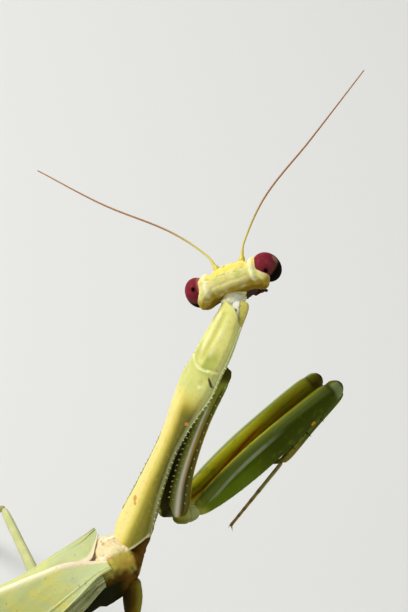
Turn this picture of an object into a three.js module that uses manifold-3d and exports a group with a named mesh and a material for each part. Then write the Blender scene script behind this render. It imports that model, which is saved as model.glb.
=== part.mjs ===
// Praying mantis: an adult standing on its four walking legs, the long prothorax raised,
// the two forelegs folded close together in front and the head turned to its left.
//
// Millimetres, +Z up. The animal faces -Y and its left is +X. The origin is on the floor,
// under the middle of the whole animal.
// Each anatomical frame has the same axes: +X left, -Y towards the head, +Z towards the back.

import * as THREE from "three";
import { mergeVertices } from "three/addons/utils/BufferGeometryUtils.js";
import Module from "manifold-3d";

const wasm = await Module();
wasm.setup();

const { degToRad, lerp, smoothstep } = THREE.MathUtils;

// ---------- driving dimensions ----------

const JOINT_GAP = 0.08;
const STANCE_HEIGHT = 17.5;
const BODY_PITCH = degToRad(10);
const PROTHORAX_PITCH = degToRad(59);
const PROTHORAX_YAW = degToRad(10);
const PROTHORAX_RISE = 0.42;
const PROTHORAX_AND_NECK = 21.56;

const HEAD_YAW = degToRad(53);
const HEAD_ROLL = degToRad(20);
const HEAD_PITCH = degToRad(2);
const HEAD_AHEAD_OF_NECK = 1.9;
const HEAD_DROP = 0.24;

const EYE = { apart: 5.92, ahead: -0.05, up: -0.1, half: [0.95, 1.13, 1.42], lean: degToRad(7) };
const ANTENNA = { baseApart: 2.0, baseAhead: 1.15, baseUp: -0.1, radius: 0.27, sides: 5, steps: 18 };

// The outer part of each feeler: [ahead, up, outwards].
const ANTENNA_ROUTES = {
  left: [[5.5, 0.1, 4.15], [9.6, 0.35, 9.1], [14.3, 0.6, 13.9]],
  right: [[5.45, 0.1, 4.2], [8.5, -0.1, 8.55], [12.55, -0.5, 13.95]],
};

// Places on the forelegs are [distance ahead of the prothorax's base, height over its axis].
const FORELEG_APART = 1.96;
const FORELEGS = {
  left: {
    coxaTop: [16.6, -1.5], coxaFoot: [2.75, -4.4], femurBase: [3.5, -5.6], femurKnee: [16.65, -13.5],
    tibiaKnee: [16.05, -13.86], tibiaTip: [9.2, -11.7], tarsusTip: [4.3, -7.7],
  },
  right: {
    coxaTop: [16.6, -1.5], coxaFoot: [3.35, -4.15], femurBase: [4.05, -5.4], femurKnee: [17.15, -13.9],
    tibiaKnee: [16.5, -14.25], tibiaTip: [9.5, -11.87], tarsusTip: [3.4, -9.62],
  },
};

const ANKLE_HEIGHT = 0.98;

const WING = { root: 1.0, length: 43.6, thickness: 0.5, spacing: 0.62, arch: 1.35 };

const ABDOMEN = { start: 8.15, length: 29.5, segments: 6 };

// ---------- finishes ----------

const finish = (color, roughness) => new THREE.MeshStandardMaterial({ color, roughness, metalness: 0 });
const FINISH = {
  headCream: finish(0xe0dc86, 0.45),
  eyeMaroon: finish(0x5c1c22, 0.15),
  mouthBrown: finish(0x5b3a1c, 0.5),
  antennaOchre: finish(0xa8843a, 0.55),
  neckMembrane: finish(0xdedeb8, 0.6),
  pronotumYellow: finish(0xcfc455, 0.4),
  thoraxOlive: finish(0xb0a04a, 0.5),
  coxaGreen: finish(0x9fa85a, 0.4),
  femurGreen: finish(0x5f7a22, 0.3),
  tibiaOlive: finish(0x7c7a30, 0.4),
  tarsusBrown: finish(0x8c7038, 0.5),
  legGreen: finish(0xa9b268, 0.45),
  wingGreen: finish(0xb9c587, 0.5),
  hindwingPale: finish(0xb4b990, 0.55),
  abdomenGreen: finish(0xb3b768, 0.5),
};

// ---------- shape helpers ----------

// Rows of [t, value, value, ...] read as smooth curves of t.
function along(table, t) {
  const last = table.length - 1;
  let i = 0;
  while (i < last - 1 && t > table[i + 1][0]) i += 1;
  const [here, next] = [table[i], table[i + 1]];
  const [before, after] = [table[Math.max(i - 1, 0)], table[Math.min(i + 2, last)]];
  const span = next[0] - here[0];
  const u = Math.min(Math.max((t - here[0]) / span, 0), 1);
  return here.slice(1).map((value, k) => {
    const end = next[k + 1];
    const slopeHere = ((end - before[k + 1]) / (next[0] - before[0])) * span;
    const slopeEnd = ((after[k + 1] - value) / (after[0] - here[0])) * span;
    const [u2, u3] = [u * u, u * u * u];
    return (2 * u3 - 3 * u2 + 1) * value + (u3 - 2 * u2 + u) * slopeHere
      + (3 * u2 - 2 * u3) * end + (u3 - u2) * slopeEnd;
  });
}

// Rings packed closer towards both ends, so that the ends come out round.
const spaced = (count, i) => (1 - Math.cos((Math.PI * i) / count)) / 2;

// Joins equal rings of points into one closed body, each end shut by a fan.
function skin(rings) {
  const around = rings[0].length;
  const points = rings.flat();
  const faces = [];
  for (let i = 0; i < rings.length - 1; i += 1) {
    for (let j = 0; j < around; j += 1) {
      const a = i * around + j;
      const b = i * around + ((j + 1) % around);
      faces.push(a, b, a + around, b, b + around, a + around);
    }
  }
  for (const end of [0, rings.length - 1]) {
    const hub = points.length;
    const middle = rings[end].reduce((sum, p) => sum.add(p), new THREE.Vector3());
    points.push(middle.divideScalar(around));
    for (let j = 0; j < around; j += 1) {
      const a = end * around + j;
      const b = end * around + ((j + 1) % around);
      faces.push(...(end === 0 ? [b, a, hub] : [a, b, hub]));
    }
  }
  const geometry = new THREE.BufferGeometry().setFromPoints(points);
  geometry.setIndex(signedVolume(points, faces) < 0 ? turned(faces) : faces);
  return geometry;
}

function signedVolume(points, faces) {
  let six = 0;
  for (let i = 0; i < faces.length; i += 3) {
    const [a, b, c] = [points[faces[i]], points[faces[i + 1]], points[faces[i + 2]]];
    six += a.dot(b.clone().cross(c));
  }
  return six / 6;
}

const turned = (faces) => faces.map((_, i) => faces[i - (i % 3) + 2 - (i % 3)]);

// A straight limb along +Z. Table rows are [t, half width, half depth, bow].
function limb(table, length, rings = 8, sides = 10) {
  return skin(Array.from({ length: rings + 1 }, (_, i) => {
    const t = spaced(rings, i);
    const [width, depth, bow] = along(table, t);
    return Array.from({ length: sides }, (_, j) => {
      const turn = (2 * Math.PI * (j + 0.5)) / sides;
      return new THREE.Vector3(width * Math.cos(turn), bow + depth * Math.sin(turn), t * length);
    });
  }));
}

function part(parent, name, geometry, material) {
  const mesh = new THREE.Mesh(geometry, material);
  mesh.name = name;
  parent.add(mesh);
  return mesh;
}

// Sets a limb between two points of its parent's frame, its +Y side turned to `deep`.
function aim(mesh, from, to, deep) {
  const axis = to.clone().sub(from).normalize();
  const depth = deep.clone().addScaledVector(axis, -deep.dot(axis)).normalize();
  const width = depth.clone().cross(axis);
  mesh.quaternion.setFromRotationMatrix(new THREE.Matrix4().makeBasis(width, depth, axis));
  mesh.position.copy(from);
  return mesh;
}

// ---------- joining and cutting ----------

function bare(geometry) {
  const copy = geometry.clone();
  copy.deleteAttribute("normal");
  copy.deleteAttribute("uv");
  return mergeVertices(copy, 1e-4);
}

function solidOf(geometry) {
  const { attributes, index } = bare(geometry);
  const vertProperties = new Float32Array(attributes.position.array);
  const triVerts = new Uint32Array(index.array);
  return new wasm.Manifold(new wasm.Mesh({ numProp: 3, vertProperties, triVerts }));
}

function geometryOf(solid) {
  const { vertProperties, triVerts } = solid.getMesh();
  const geometry = new THREE.BufferGeometry();
  geometry.setAttribute("position", new THREE.BufferAttribute(vertProperties, 3));
  geometry.setIndex(new THREE.BufferAttribute(triVerts, 1));
  return geometry;
}

function swollen(geometry, by) {
  const copy = bare(geometry);
  copy.computeVertexNormals();
  const { position, normal } = copy.attributes;
  for (let i = 0; i < position.count; i += 1) {
    const [x, y, z] = [0, 1, 2].map((k) => position.getComponent(i, k) + by * normal.getComponent(i, k));
    position.setXYZ(i, x, y, z);
  }
  return copy;
}

// Cuts the room that its neighbours need out of a mesh, and keeps the largest piece left.
function makeRoom(mesh, neighbours, gap = JOINT_GAP) {
  root.updateMatrixWorld(true);
  const home = mesh.matrixWorld.clone().invert();
  const left = neighbours.reduce((solid, other) => {
    const place = home.clone().multiply(other.matrixWorld);
    return solid.subtract(solidOf(swollen(other.geometry, gap).applyMatrix4(place)));
  }, solidOf(mesh.geometry));
  const pieces = left.decompose().sort((a, b) => b.volume() - a.volume());
  mesh.geometry = geometryOf(pieces[0]);
}

const joined = (geometries) => geometryOf(geometries.map(solidOf).reduce((a, b) => a.add(b)));

// A small pointed tooth from `foot` to `tip`, four-sided.
function tooth(foot, tip, radius) {
  const cone = new THREE.ConeGeometry(radius, foot.distanceTo(tip), 4);
  const up = new THREE.Vector3(0, 1, 0);
  const turn = new THREE.Quaternion().setFromUnitVectors(up, tip.clone().sub(foot).normalize());
  return cone.applyQuaternion(turn).translate(...foot.clone().lerp(tip, 0.5).toArray());
}

// ---------- frames ----------

const root = new THREE.Group();

const body = new THREE.Group();
body.position.z = STANCE_HEIGHT;
body.rotation.x = -BODY_PITCH;
root.add(body);

const prothorax = new THREE.Group();
prothorax.rotation.set(-PROTHORAX_PITCH, 0, PROTHORAX_YAW, "ZYX");
prothorax.position.set(0, 0, PROTHORAX_RISE).applyEuler(prothorax.rotation);
prothorax.position.z += STANCE_HEIGHT;
root.add(prothorax);

const head = new THREE.Group();
head.rotation.set(-HEAD_PITCH, -HEAD_ROLL, HEAD_YAW, "ZYX");
head.position.set(0, -HEAD_AHEAD_OF_NECK, 0).applyEuler(head.rotation);
head.position.add(new THREE.Vector3(0, -PROTHORAX_AND_NECK, -HEAD_DROP));
prothorax.add(head);

const SIDES = [["left", 1], ["right", -1]];
const point = (ahead, up, left) => new THREE.Vector3(left, -ahead, up);
const nodes = {};

// ---------- prothorax and neck ----------

// Rows: distance from the base, half width at the side keel, keel height, dome height, belly depth.
const PROTHORAX_LINES = [
  [-0.3, 2.2, -1.5, 0.85, 1.4],
  [2.3, 2.0, -1.2, 0.7, 1.4],
  [4.65, 1.56, -0.85, 0.58, 1.1],
  [8.4, 1.18, -0.5, 0.49, 0.85],
  [10.55, 1.3, -0.43, 0.64, 0.9],
  [12.3, 1.6, -0.38, 0.85, 1.05],
  [14.25, 1.98, -0.42, 0.9, 1.2],
  [15.9, 1.84, -0.45, 0.86, 1.25],
  [17.6, 1.75, -0.47, 0.83, 1.2],
  [19.05, 1.42, -0.45, 0.68, 1.0],
  [20.3, 1.0, -0.42, 0.72, 0.75],
  [21.1, 0.85, -0.4, 0.8, 0.6],
];
const PROTHORAX_RINGS = 15;
const PROTHORAX_SIDES = 16;
const REAR_MARGIN = { middle: -0.3, sweep: 2.6 };
const FRONT_MARGIN = { middle: 20.9, sweep: 1.3 };
const SULCUS = { at: 15.7, width: 0.35, depth: 0.06 };
const BELLY_WIDTH = 0.84;

function prothoraxSkin() {
  return skin(Array.from({ length: PROTHORAX_RINGS + 1 }, (_, i) => {
    const u = i / PROTHORAX_RINGS;
    return Array.from({ length: PROTHORAX_SIDES }, (_, j) => {
      const turn = (2 * Math.PI * j) / PROTHORAX_SIDES;
      const [across, up] = [Math.cos(turn), Math.sin(turn)];
      const aside = up < 0 ? 1 : across * across;
      const rear = REAR_MARGIN.middle + REAR_MARGIN.sweep * aside;
      const front = FRONT_MARGIN.middle - FRONT_MARGIN.sweep * aside;
      const s = lerp(rear, front, u);
      const [width, keel, dome, belly] = along(PROTHORAX_LINES, s);
      const groove = 1 - SULCUS.depth * Math.exp(-(((s - SULCUS.at) / SULCUS.width) ** 2));
      const height = up < -1e-6 ? keel + belly * up : keel + dome * up * groove;
      return point(s, height, width * across * (up < -1e-6 ? BELLY_WIDTH : groove));
    });
  }));
}

function buildProthorax() {
  nodes.prothorax = part(prothorax, "prothorax", prothoraxSkin(), FINISH.pronotumYellow);
  const neck = limb([[0, 0.85, 0.9, -0.1], [0.5, 0.86, 1.0, -0.25], [1, 0.8, 0.85, -0.15]], 4.0, 5, 10);
  nodes.neck = part(prothorax, "neck", neck, FINISH.neckMembrane);
  const toHead = head.position.clone().add(new THREE.Vector3(0, 0.5, -0.25).applyEuler(head.rotation));
  aim(nodes.neck, point(18.9, -0.62, 0), toHead, point(0, 1, 0));
}

// ---------- head ----------

// Rows: height, half width, front, back, and how far the temples swell back behind the eyes.
const HEAD_LINES = [
  [-3.15, 0.85, 0.45, 0.5, 0],
  [-2.4, 1.15, 0.8, 0.8, 0],
  [-1.3, 1.8, 1.05, 1.0, 0.6],
  [-0.4, 2.55, 1.1, 1.15, 2.4],
  [0.2, 3.05, 1.0, 1.15, 2.6],
  [0.7, 3.0, 0.85, 1.05, 2.3],
  [1.1, 2.55, 0.6, 0.85, 1.4],
  [1.32, 1.85, 0.32, 0.5, 0.5],
];
const HEAD_RINGS = 9;
const HEAD_SIDES = 16;

function buildHead() {
  const [low, high] = [HEAD_LINES[0][0], HEAD_LINES.at(-1)[0]];
  const skull = skin(Array.from({ length: HEAD_RINGS + 1 }, (_, i) => {
    const up = lerp(low, high, spaced(HEAD_RINGS, i));
    const [width, front, back, temple] = along(HEAD_LINES, up);
    return Array.from({ length: HEAD_SIDES }, (_, j) => {
      const turn = (2 * Math.PI * (j + 0.5)) / HEAD_SIDES;
      const [across, ahead] = [Math.cos(turn), Math.sin(turn)];
      const reach = ahead > 0 ? front : back + temple * across ** 4;
      const square = ahead > 0 ? 1 : 0.75;
      return point(reach * Math.sign(ahead) * Math.abs(ahead) ** 0.7, up,
        width * Math.sign(across) * Math.abs(across) ** square);
    });
  }));
  nodes.head = part(head, "head", skull, FINISH.headCream);
  for (const [side, sign] of SIDES) {
    const eye = new THREE.SphereGeometry(1, 12, 9).rotateX(Math.PI / 2).scale(...EYE.half);
    nodes[`eye_${side}`] = part(head, `eye_${side}`, eye, FINISH.eyeMaroon);
    nodes[`eye_${side}`].position.copy(point(EYE.ahead, EYE.up, (sign * EYE.apart) / 2));
    nodes[`eye_${side}`].rotation.y = -sign * EYE.lean;
    buildAntenna(side, sign);
  }
  buildMouthparts();
  makeRoom(nodes.head, [nodes.eye_left, nodes.eye_right]);
}

// The feeler runs forwards first and then bends out.
function buildAntenna(side, sign) {
  const path = new THREE.CatmullRomCurve3([
    point(ANTENNA.baseAhead, ANTENNA.baseUp, (sign * ANTENNA.baseApart) / 2),
    point(2.55, -0.05, sign * 1.6),
    ...ANTENNA_ROUTES[side].map(([ahead, up, out]) => point(ahead, up, sign * out)),
  ]);
  const { normals, binormals } = path.computeFrenetFrames(ANTENNA.steps, false);
  const rings = normals.map((normal, i) => {
    const u = i / ANTENNA.steps;
    const radius = ANTENNA.radius * (i === 0 ? 1.5 : 1);
    return Array.from({ length: ANTENNA.sides }, (_, j) => {
      const turn = (2 * Math.PI * j) / ANTENNA.sides;
      return path.getPointAt(u).addScaledVector(normal, radius * Math.cos(turn))
        .addScaledVector(binormals[i], radius * Math.sin(turn));
    });
  });
  nodes[`antenna_${side}`] = part(head, `antenna_${side}`, skin(rings), FINISH.antennaOchre);
}

function buildMouthparts() {
  const jaw = limb([[0, 0.75, 0.45, 0], [0.5, 0.7, 0.5, 0], [1, 0.3, 0.3, 0]], 0.9, 3, 8);
  jaw.rotateX(Math.PI).translate(0, 0.1, -3.3);
  const palps = SIDES.map(([, sign]) => {
    const palp = limb([[0, 0.25, 0.25, 0], [0.5, 0.27, 0.27, 0.1], [1, 0.25, 0.25, 0]], 1.3, 4, 6);
    return palp.rotateX(Math.PI - 0.45).rotateZ(sign * 0.9).translate(sign * 0.5, 0.3, -3.55);
  });
  nodes.mouthparts = part(head, "mouthparts", joined([jaw, ...palps]), FINISH.mouthBrown);
}

// ---------- forelegs ----------

const COXA_TABLE = [
  [0, 0.42, 0.42, 0], [0.06, 0.55, 0.56, 0.05], [0.35, 0.54, 0.55, 0.7],
  [0.7, 0.6, 0.66, 0.75], [0.94, 0.7, 0.84, 0.12], [1, 0.5, 0.6, 0],
];
const TROCHANTER_TABLE = [[0, 0.45, 0.5, 0], [0.3, 0.66, 0.78, 0], [0.75, 0.64, 0.74, 0], [1, 0.4, 0.5, 0]];
const FEMUR_TABLE = [
  [0, 0.42, 0.55, -0.1], [0.05, 0.55, 0.9, -0.15], [0.2, 0.74, 1.38, -0.15], [0.42, 0.83, 1.62, -0.12],
  [0.7, 0.8, 1.42, -0.04], [0.9, 0.74, 1.1, 0.03], [0.97, 0.66, 0.92, 0.02], [1, 0.4, 0.55, 0],
];
const TIBIA_TABLE = [
  [0, 0.3, 0.32, 0], [0.08, 0.42, 0.46, 0], [0.5, 0.38, 0.4, 0.06], [0.92, 0.32, 0.36, 0], [1, 0.26, 0.28, 0],
];
const FORE_TARSUS_TABLE = [
  [0, 0.26, 0.26, 0], [0.5, 0.25, 0.25, 0], [0.9, 0.27, 0.27, 0], [1, 0.25, 0.25, 0],
];
const FEMUR_SPINES = { count: 4, first: 0.42, step: 0.11, length: 0.75, radius: 0.16 };
const TIBIA_SPINES = { count: 5, first: 0.25, step: 0.13, length: 0.5, radius: 0.13 };
const CLAW = { length: 0.8, bend: 0.69, radius: 0.22 };

function spinyFemur(length, sign) {
  const spines = Array.from({ length: FEMUR_SPINES.count }, (_, i) => {
    const t = FEMUR_SPINES.first + i * FEMUR_SPINES.step;
    const [width, depth] = along(FEMUR_TABLE, t);
    const foot = new THREE.Vector3(sign * width * 0.62, -depth * 0.7, t * length);
    return tooth(foot, foot.clone().add(new THREE.Vector3(sign * 0.12, -FEMUR_SPINES.length, 0.25)),
      FEMUR_SPINES.radius);
  });
  return joined([limb(FEMUR_TABLE, length, 7, 10), ...spines]);
}

function spinyTibia(length) {
  const clawFoot = new THREE.Vector3(0, 0.05, length * 0.95);
  const clawTip = clawFoot.clone().add(new THREE.Vector3(0, CLAW.bend, CLAW.length));
  const claw = tooth(clawFoot, clawTip, CLAW.radius);
  const spines = Array.from({ length: TIBIA_SPINES.count }, (_, i) => {
    const foot = new THREE.Vector3(0, 0.15, length * (TIBIA_SPINES.first + i * TIBIA_SPINES.step));
    return tooth(foot, foot.clone().add(new THREE.Vector3(0, TIBIA_SPINES.length, 0.2)), TIBIA_SPINES.radius);
  });
  return joined([limb(TIBIA_TABLE, length, 5, 7), claw, ...spines]);
}

function buildForeleg(side, sign) {
  const back = point(0, 1, 0);
  const plan = FORELEGS[side];
  const at = ([ahead, up], spread = 1) => point(ahead, up, (sign * FORELEG_APART * spread) / 2);
  const place = (segment, table, from, to, material, rings = 8, sides = 10) => {
    const name = `foreleg_${side}_${segment}`;
    const length = from.distanceTo(to);
    const shape = typeof table === "function" ? table(length) : limb(table, length, rings, sides);
    nodes[name] = aim(part(prothorax, name, shape, material), from, to, back);
    return nodes[name];
  };
  const [coxaFoot, femurBase, tibiaTip] = [at(plan.coxaFoot), at(plan.femurBase), at(plan.tibiaTip)];
  place("coxa", COXA_TABLE, at(plan.coxaTop, 1.08), coxaFoot, FINISH.coxaGreen, 9);
  const femur = place("femur", (length) => spinyFemur(length, sign), femurBase, at(plan.femurKnee),
    FINISH.femurGreen);
  const tibia = place("tibia", spinyTibia, at(plan.tibiaKnee), tibiaTip, FINISH.tibiaOlive);
  const elbow = [coxaFoot.clone().add(point(0.05, 0.3, 0)), femurBase.clone().add(point(0.1, -0.25, 0))];
  const trochanter = place("trochanter", TROCHANTER_TABLE, ...elbow, FINISH.coxaGreen, 4, 8);
  const tarsus = place("tarsus", FORE_TARSUS_TABLE, tibiaTip, at(plan.tarsusTip, 1.25),
    FINISH.tarsusBrown, 6, 6);
  makeRoom(femur, [tibia, tarsus]);
  makeRoom(trochanter, [nodes[`foreleg_${side}_coxa`], femur]);
  makeRoom(tarsus, [tibia]);
}

// ---------- middle and rear thorax ----------

// Rows: distance behind the waist, half width, top, bottom, forward lean of the section.
const THORAX_LINES = [
  [-1.6, 1.0, -0.35, -2.2, 0.25],
  [-0.8, 1.75, -0.25, -3.3, 0.32],
  [0.3, 2.1, -0.15, -4.1, 0.3],
  [1.4, 2.25, -0.25, -4.4, 0.2],
  [2.4, 2.25, -1.0, -4.5, 0.12],
  [4.0, 2.2, -1.95, -4.75, 0],
  [6.0, 2.35, -2.0, -5.0, 0],
  [8.05, 2.35, -2.1, -5.0, 0],
];
const THORAX_SIDES = 12;

function thoraxSkin(from, to, rings) {
  return skin(Array.from({ length: rings + 1 }, (_, i) => {
    const behind = lerp(from, to, i / rings);
    const [width, top, bottom, lean] = along(THORAX_LINES, behind);
    const [middle, half] = [(top + bottom) / 2, (top - bottom) / 2];
    return Array.from({ length: THORAX_SIDES }, (_, j) => {
      const turn = (2 * Math.PI * (j + 0.5)) / THORAX_SIDES;
      const up = half * Math.sin(turn);
      const narrowing = 1 - 0.22 * Math.max(Math.sin(turn), 0) ** 2;
      return point(lean * up - behind, middle + up, width * narrowing * Math.cos(turn));
    });
  }));
}

function buildThorax() {
  nodes.mesothorax = part(body, "mesothorax", thoraxSkin(-1.6, 4.0, 7), FINISH.thoraxOlive);
  nodes.metathorax = part(body, "metathorax", thoraxSkin(4.0 + JOINT_GAP, 8.05, 5), FINISH.thoraxOlive);
}

// ---------- abdomen ----------

// Rows: part of the length, half width, half height, height of the middle.
const ABDOMEN_LINES = [
  [0, 2.3, 1.4, -3.6], [0.12, 2.75, 1.8, -3.9], [0.3, 3.0, 2.1, -4.0], [0.5, 3.1, 2.2, -3.93],
  [0.7, 2.8, 2.0, -3.85], [0.87, 2.1, 1.5, -3.7], [0.96, 1.4, 1.0, -3.55], [1, 0.8, 0.6, -3.45],
];
const CERCUS_TABLE = [[0, 0.3, 0.3, 0], [0.4, 0.42, 0.4, 0], [1, 0.25, 0.25, 0]];

function buildAbdomen() {
  const step = 1 / ABDOMEN.segments;
  for (let k = 0; k < ABDOMEN.segments; k += 1) {
    const rings = Array.from({ length: 4 }, (_, i) => {
      const within = i / 3;
      const t = (k + within) * step;
      const [width, height, middle] = along(ABDOMEN_LINES, t);
      const flare = 0.965 + 0.035 * within;
      const behind = ABDOMEN.start + t * ABDOMEN.length + (within === 0 ? JOINT_GAP : 0);
      return Array.from({ length: 14 }, (_, j) => {
        const turn = (2 * Math.PI * (j + 0.5)) / 14;
        const up = height * flare * Math.sin(turn) * (Math.sin(turn) < 0 ? 0.85 : 1);
        return point(-behind, middle + up, width * flare * Math.cos(turn));
      });
    });
    nodes[`abdomen_${k + 1}`] = part(body, `abdomen_${k + 1}`, skin(rings), FINISH.abdomenGreen);
  }
  const tip = ABDOMEN.start + ABDOMEN.length;
  for (const [side, sign] of SIDES) {
    const cercus = part(body, `cercus_${side}`, limb(CERCUS_TABLE, 3.4, 5, 6), FINISH.abdomenGreen);
    nodes[`cercus_${side}`] = cercus;
    aim(cercus, point(0.9 - tip, -3.5, sign * 1.35), point(-tip - 2.2, -3.7, sign * 1.9), point(0, 1, 0));
    makeRoom(cercus, [nodes[`abdomen_${ABDOMEN.segments}`]]);
  }
}

// ---------- wings ----------

// Rows: part of the wing's length, ridge height, half width, drop at the side edge, where the
// inner edge lies (beyond the middle when negative), and how far the folded hindwing hangs
// below the side edge. In front the inner edges leave a triangle of the back bare between them.
const WING_LINES = [
  [0, -0.3, 2.4, -0.5, 1.75, 0.3], [0.036, -0.25, 2.35, -0.05, 0.5, 0.9],
  [0.08, -0.1, 2.7, 0.9, -0.3, 1.4], [0.127, -0.05, 3.0, 1.8, -0.5, 1.5],
  [0.195, 0, 3.6, 2.8, -0.6, 1.1], [0.285, 0.2, 4.2, 3.3, -0.6, 0.3], [0.44, 0.45, 4.6, 3.5, -0.6, 0],
  [0.67, 0.3, 4.4, 3.3, -0.6, 0], [0.896, -0.2, 3.2, 2.3, -0.45, 0], [1, -0.7, 1.4, 0.8, -0.1, 0],
];
const WING_STEPS = 13;
const WING_SPANS = { tegmen_right: [0.012, 1], tegmen_left: [0, 0.995], hindwing: [0.03, 0.93] };
const UNDER_WING_OVERLAP = 0.6;
const HINDWING_CLEARANCE = 0.04;
const LOWERED_INNER_EDGE = [0.3, 2.0];
const OVERLAP_STARTS = [0.04, 0.075];
const HINDWINGS_APART = 0.95;

// A point `deep` below the roof that the folded wings make, `left` of the middle.
function roof(t, left, sign, deep) {
  const [ridge, width, drop] = along(WING_LINES, t);
  const v = Math.abs(left) / width;
  const slope = new THREE.Vector2(drop * WING.arch * v ** (WING.arch - 1), width).normalize();
  const height = ridge - drop * v ** WING.arch - slope.y * deep;
  return point(-WING.root - t * WING.length, height, sign * (left - Math.sign(left || 1) * slope.x * deep));
}

const tucked = (t, left) => WING.spacing * (1 - smoothstep(Math.abs(left), ...LOWERED_INNER_EDGE))
  * smoothstep(t, ...OVERLAP_STARTS);

// A closed wing of even thickness. Each place gives [left, depth, hang] at a part t of the length.
function wingSkin(sign, places, steps, span) {
  const sectionPoint = (place, t, thick) => {
    const [left, deep, hang] = place(t);
    return roof(t, left, sign, deep + thick).add(point(0, -hang, sign * hang * 0.12));
  };
  return skin(Array.from({ length: steps + 1 }, (_, i) => {
    const t = lerp(...span, i / steps);
    const upper = places.map((place) => sectionPoint(place, t, 0));
    const lower = places.toReversed().map((place) => sectionPoint(place, t, WING.thickness));
    return [...upper, ...lower];
  }));
}

// Places across a wing from its inner edge to its side edge.
function placesAcross(count, overlap, depthAt) {
  return Array.from({ length: count }, (_, j) => (t) => {
    const [, width, , inner] = along(WING_LINES, t);
    const left = lerp(inner * (inner < 0 ? overlap : 1), width, j / (count - 1));
    return [left, depthAt(t, left), 0];
  });
}

function buildWings() {
  const upper = placesAcross(7, 1, () => 0);
  const lower = placesAcross(6, UNDER_WING_OVERLAP, tucked);
  for (const [name, sign, places] of [["tegmen_right", -1, upper], ["tegmen_left", 1, lower]]) {
    const shape = wingSkin(sign, places, WING_STEPS, WING_SPANS[name]);
    nodes[name] = part(body, name, shape, FINISH.wingGreen);
  }
  const folded = Array.from({ length: 4 }, (_, j) => (t) => {
    const [, width, , inner] = along(WING_LINES, t);
    const left = lerp(Math.max(inner, 0) + HINDWINGS_APART, width * 0.92, j / 3);
    return [left, WING.spacing + HINDWING_CLEARANCE + tucked(t, left), 0];
  });
  const hanging = (t) => [along(WING_LINES, t)[1] * 0.97, WING.spacing, along(WING_LINES, t)[4]];
  for (const [side, sign] of SIDES) {
    const shape = wingSkin(sign, [...folded, hanging], WING_STEPS - 2, WING_SPANS.hindwing);
    nodes[`hindwing_${side}`] = part(body, `hindwing_${side}`, shape, FINISH.hindwingPale);
  }
}

// ---------- walking legs ----------

const onBody = (ahead, up, left) => body.localToWorld(point(ahead, up, left));

const HIP_TABLE = [[0, 0.6, 0.65, 0], [0.4, 0.78, 0.82, 0], [0.85, 0.55, 0.6, 0], [1, 0.35, 0.4, 0]];
const THIGH_TABLE = [
  [0, 0.35, 0.38, 0], [0.1, 0.55, 0.62, 0], [0.5, 0.45, 0.5, 0], [0.95, 0.4, 0.46, 0], [1, 0.28, 0.3, 0],
];
const SHIN_TABLE = [
  [0, 0.28, 0.3, 0], [0.06, 0.36, 0.38, 0], [0.5, 0.29, 0.3, 0], [0.95, 0.3, 0.3, 0], [1, 0.25, 0.25, 0],
];
// Rows: part of the length, half width, height.
const WALKING_TARSUS_TABLE = [
  [0, 0.3, 0.5], [0.3, 0.33, 0.56], [0.48, 0.42, 0.62], [0.62, 0.4, 0.58], [0.8, 0.42, 0.58], [1, 0.3, 0.5],
];

// Hip, knee and foot of each leg: hip ends and knee in the body's frame [ahead, up, left],
// headings as degrees round from straight ahead towards the leg's own side.
const WALKING_LEGS = [
  {
    name: "midleg_left", side: 1,
    hip: [-2.4, -3.3, 1.4], hipEnd: [-6.0, -5.9, 1.9], knee: [-4.95, -6.9, 16.6],
    shin: 13.5, shinHeading: 96, tarsus: 7.6, tarsusHeading: 130,
  },
  {
    name: "midleg_right", side: -1,
    hip: [0.1, -2.6, -1.6], hipEnd: [-1.0, -6.1, -2.6], knee: [2.2, -5.4, -17.1],
    shin: 13.5, shinHeading: 80, tarsus: 7.6, tarsusHeading: 40,
  },
  {
    name: "hindleg_left", side: 1,
    hip: [-6.2, -3.4, 1.4], hipEnd: [-9.0, -6.0, 3.0], knee: [-19.8, 0.2, 15.9],
    shin: 19.5, shinHeading: 146, tarsus: 10, tarsusHeading: 152,
  },
  {
    name: "hindleg_right", side: -1,
    hip: [-6.2, -3.4, -1.4], hipEnd: [-9.0, -6.0, -3.0], knee: [-19.4, 0.4, -16.1],
    shin: 19.5, shinHeading: 142, tarsus: 10, tarsusHeading: 156,
  },
];

const heading = (degrees, side) => {
  const turn = degToRad(degrees);
  return new THREE.Vector3(side * Math.sin(turn), -Math.cos(turn), 0);
};

// The foot lies flat: every section has a straight underside on the floor.
function flatTarsus(from, forward, length) {
  const aside = new THREE.Vector3(-forward.y, forward.x, 0);
  return skin(Array.from({ length: 8 }, (_, i) => {
    const t = spaced(7, i);
    const [width, height] = along(WALKING_TARSUS_TABLE, t);
    return Array.from({ length: 6 }, (_, j) => {
      const turn = (Math.PI * j) / 5;
      return from.clone().addScaledVector(forward, t * length)
        .addScaledVector(aside, width * Math.cos(turn))
        .setZ(height * Math.sin(turn));
    });
  }));
}

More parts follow.
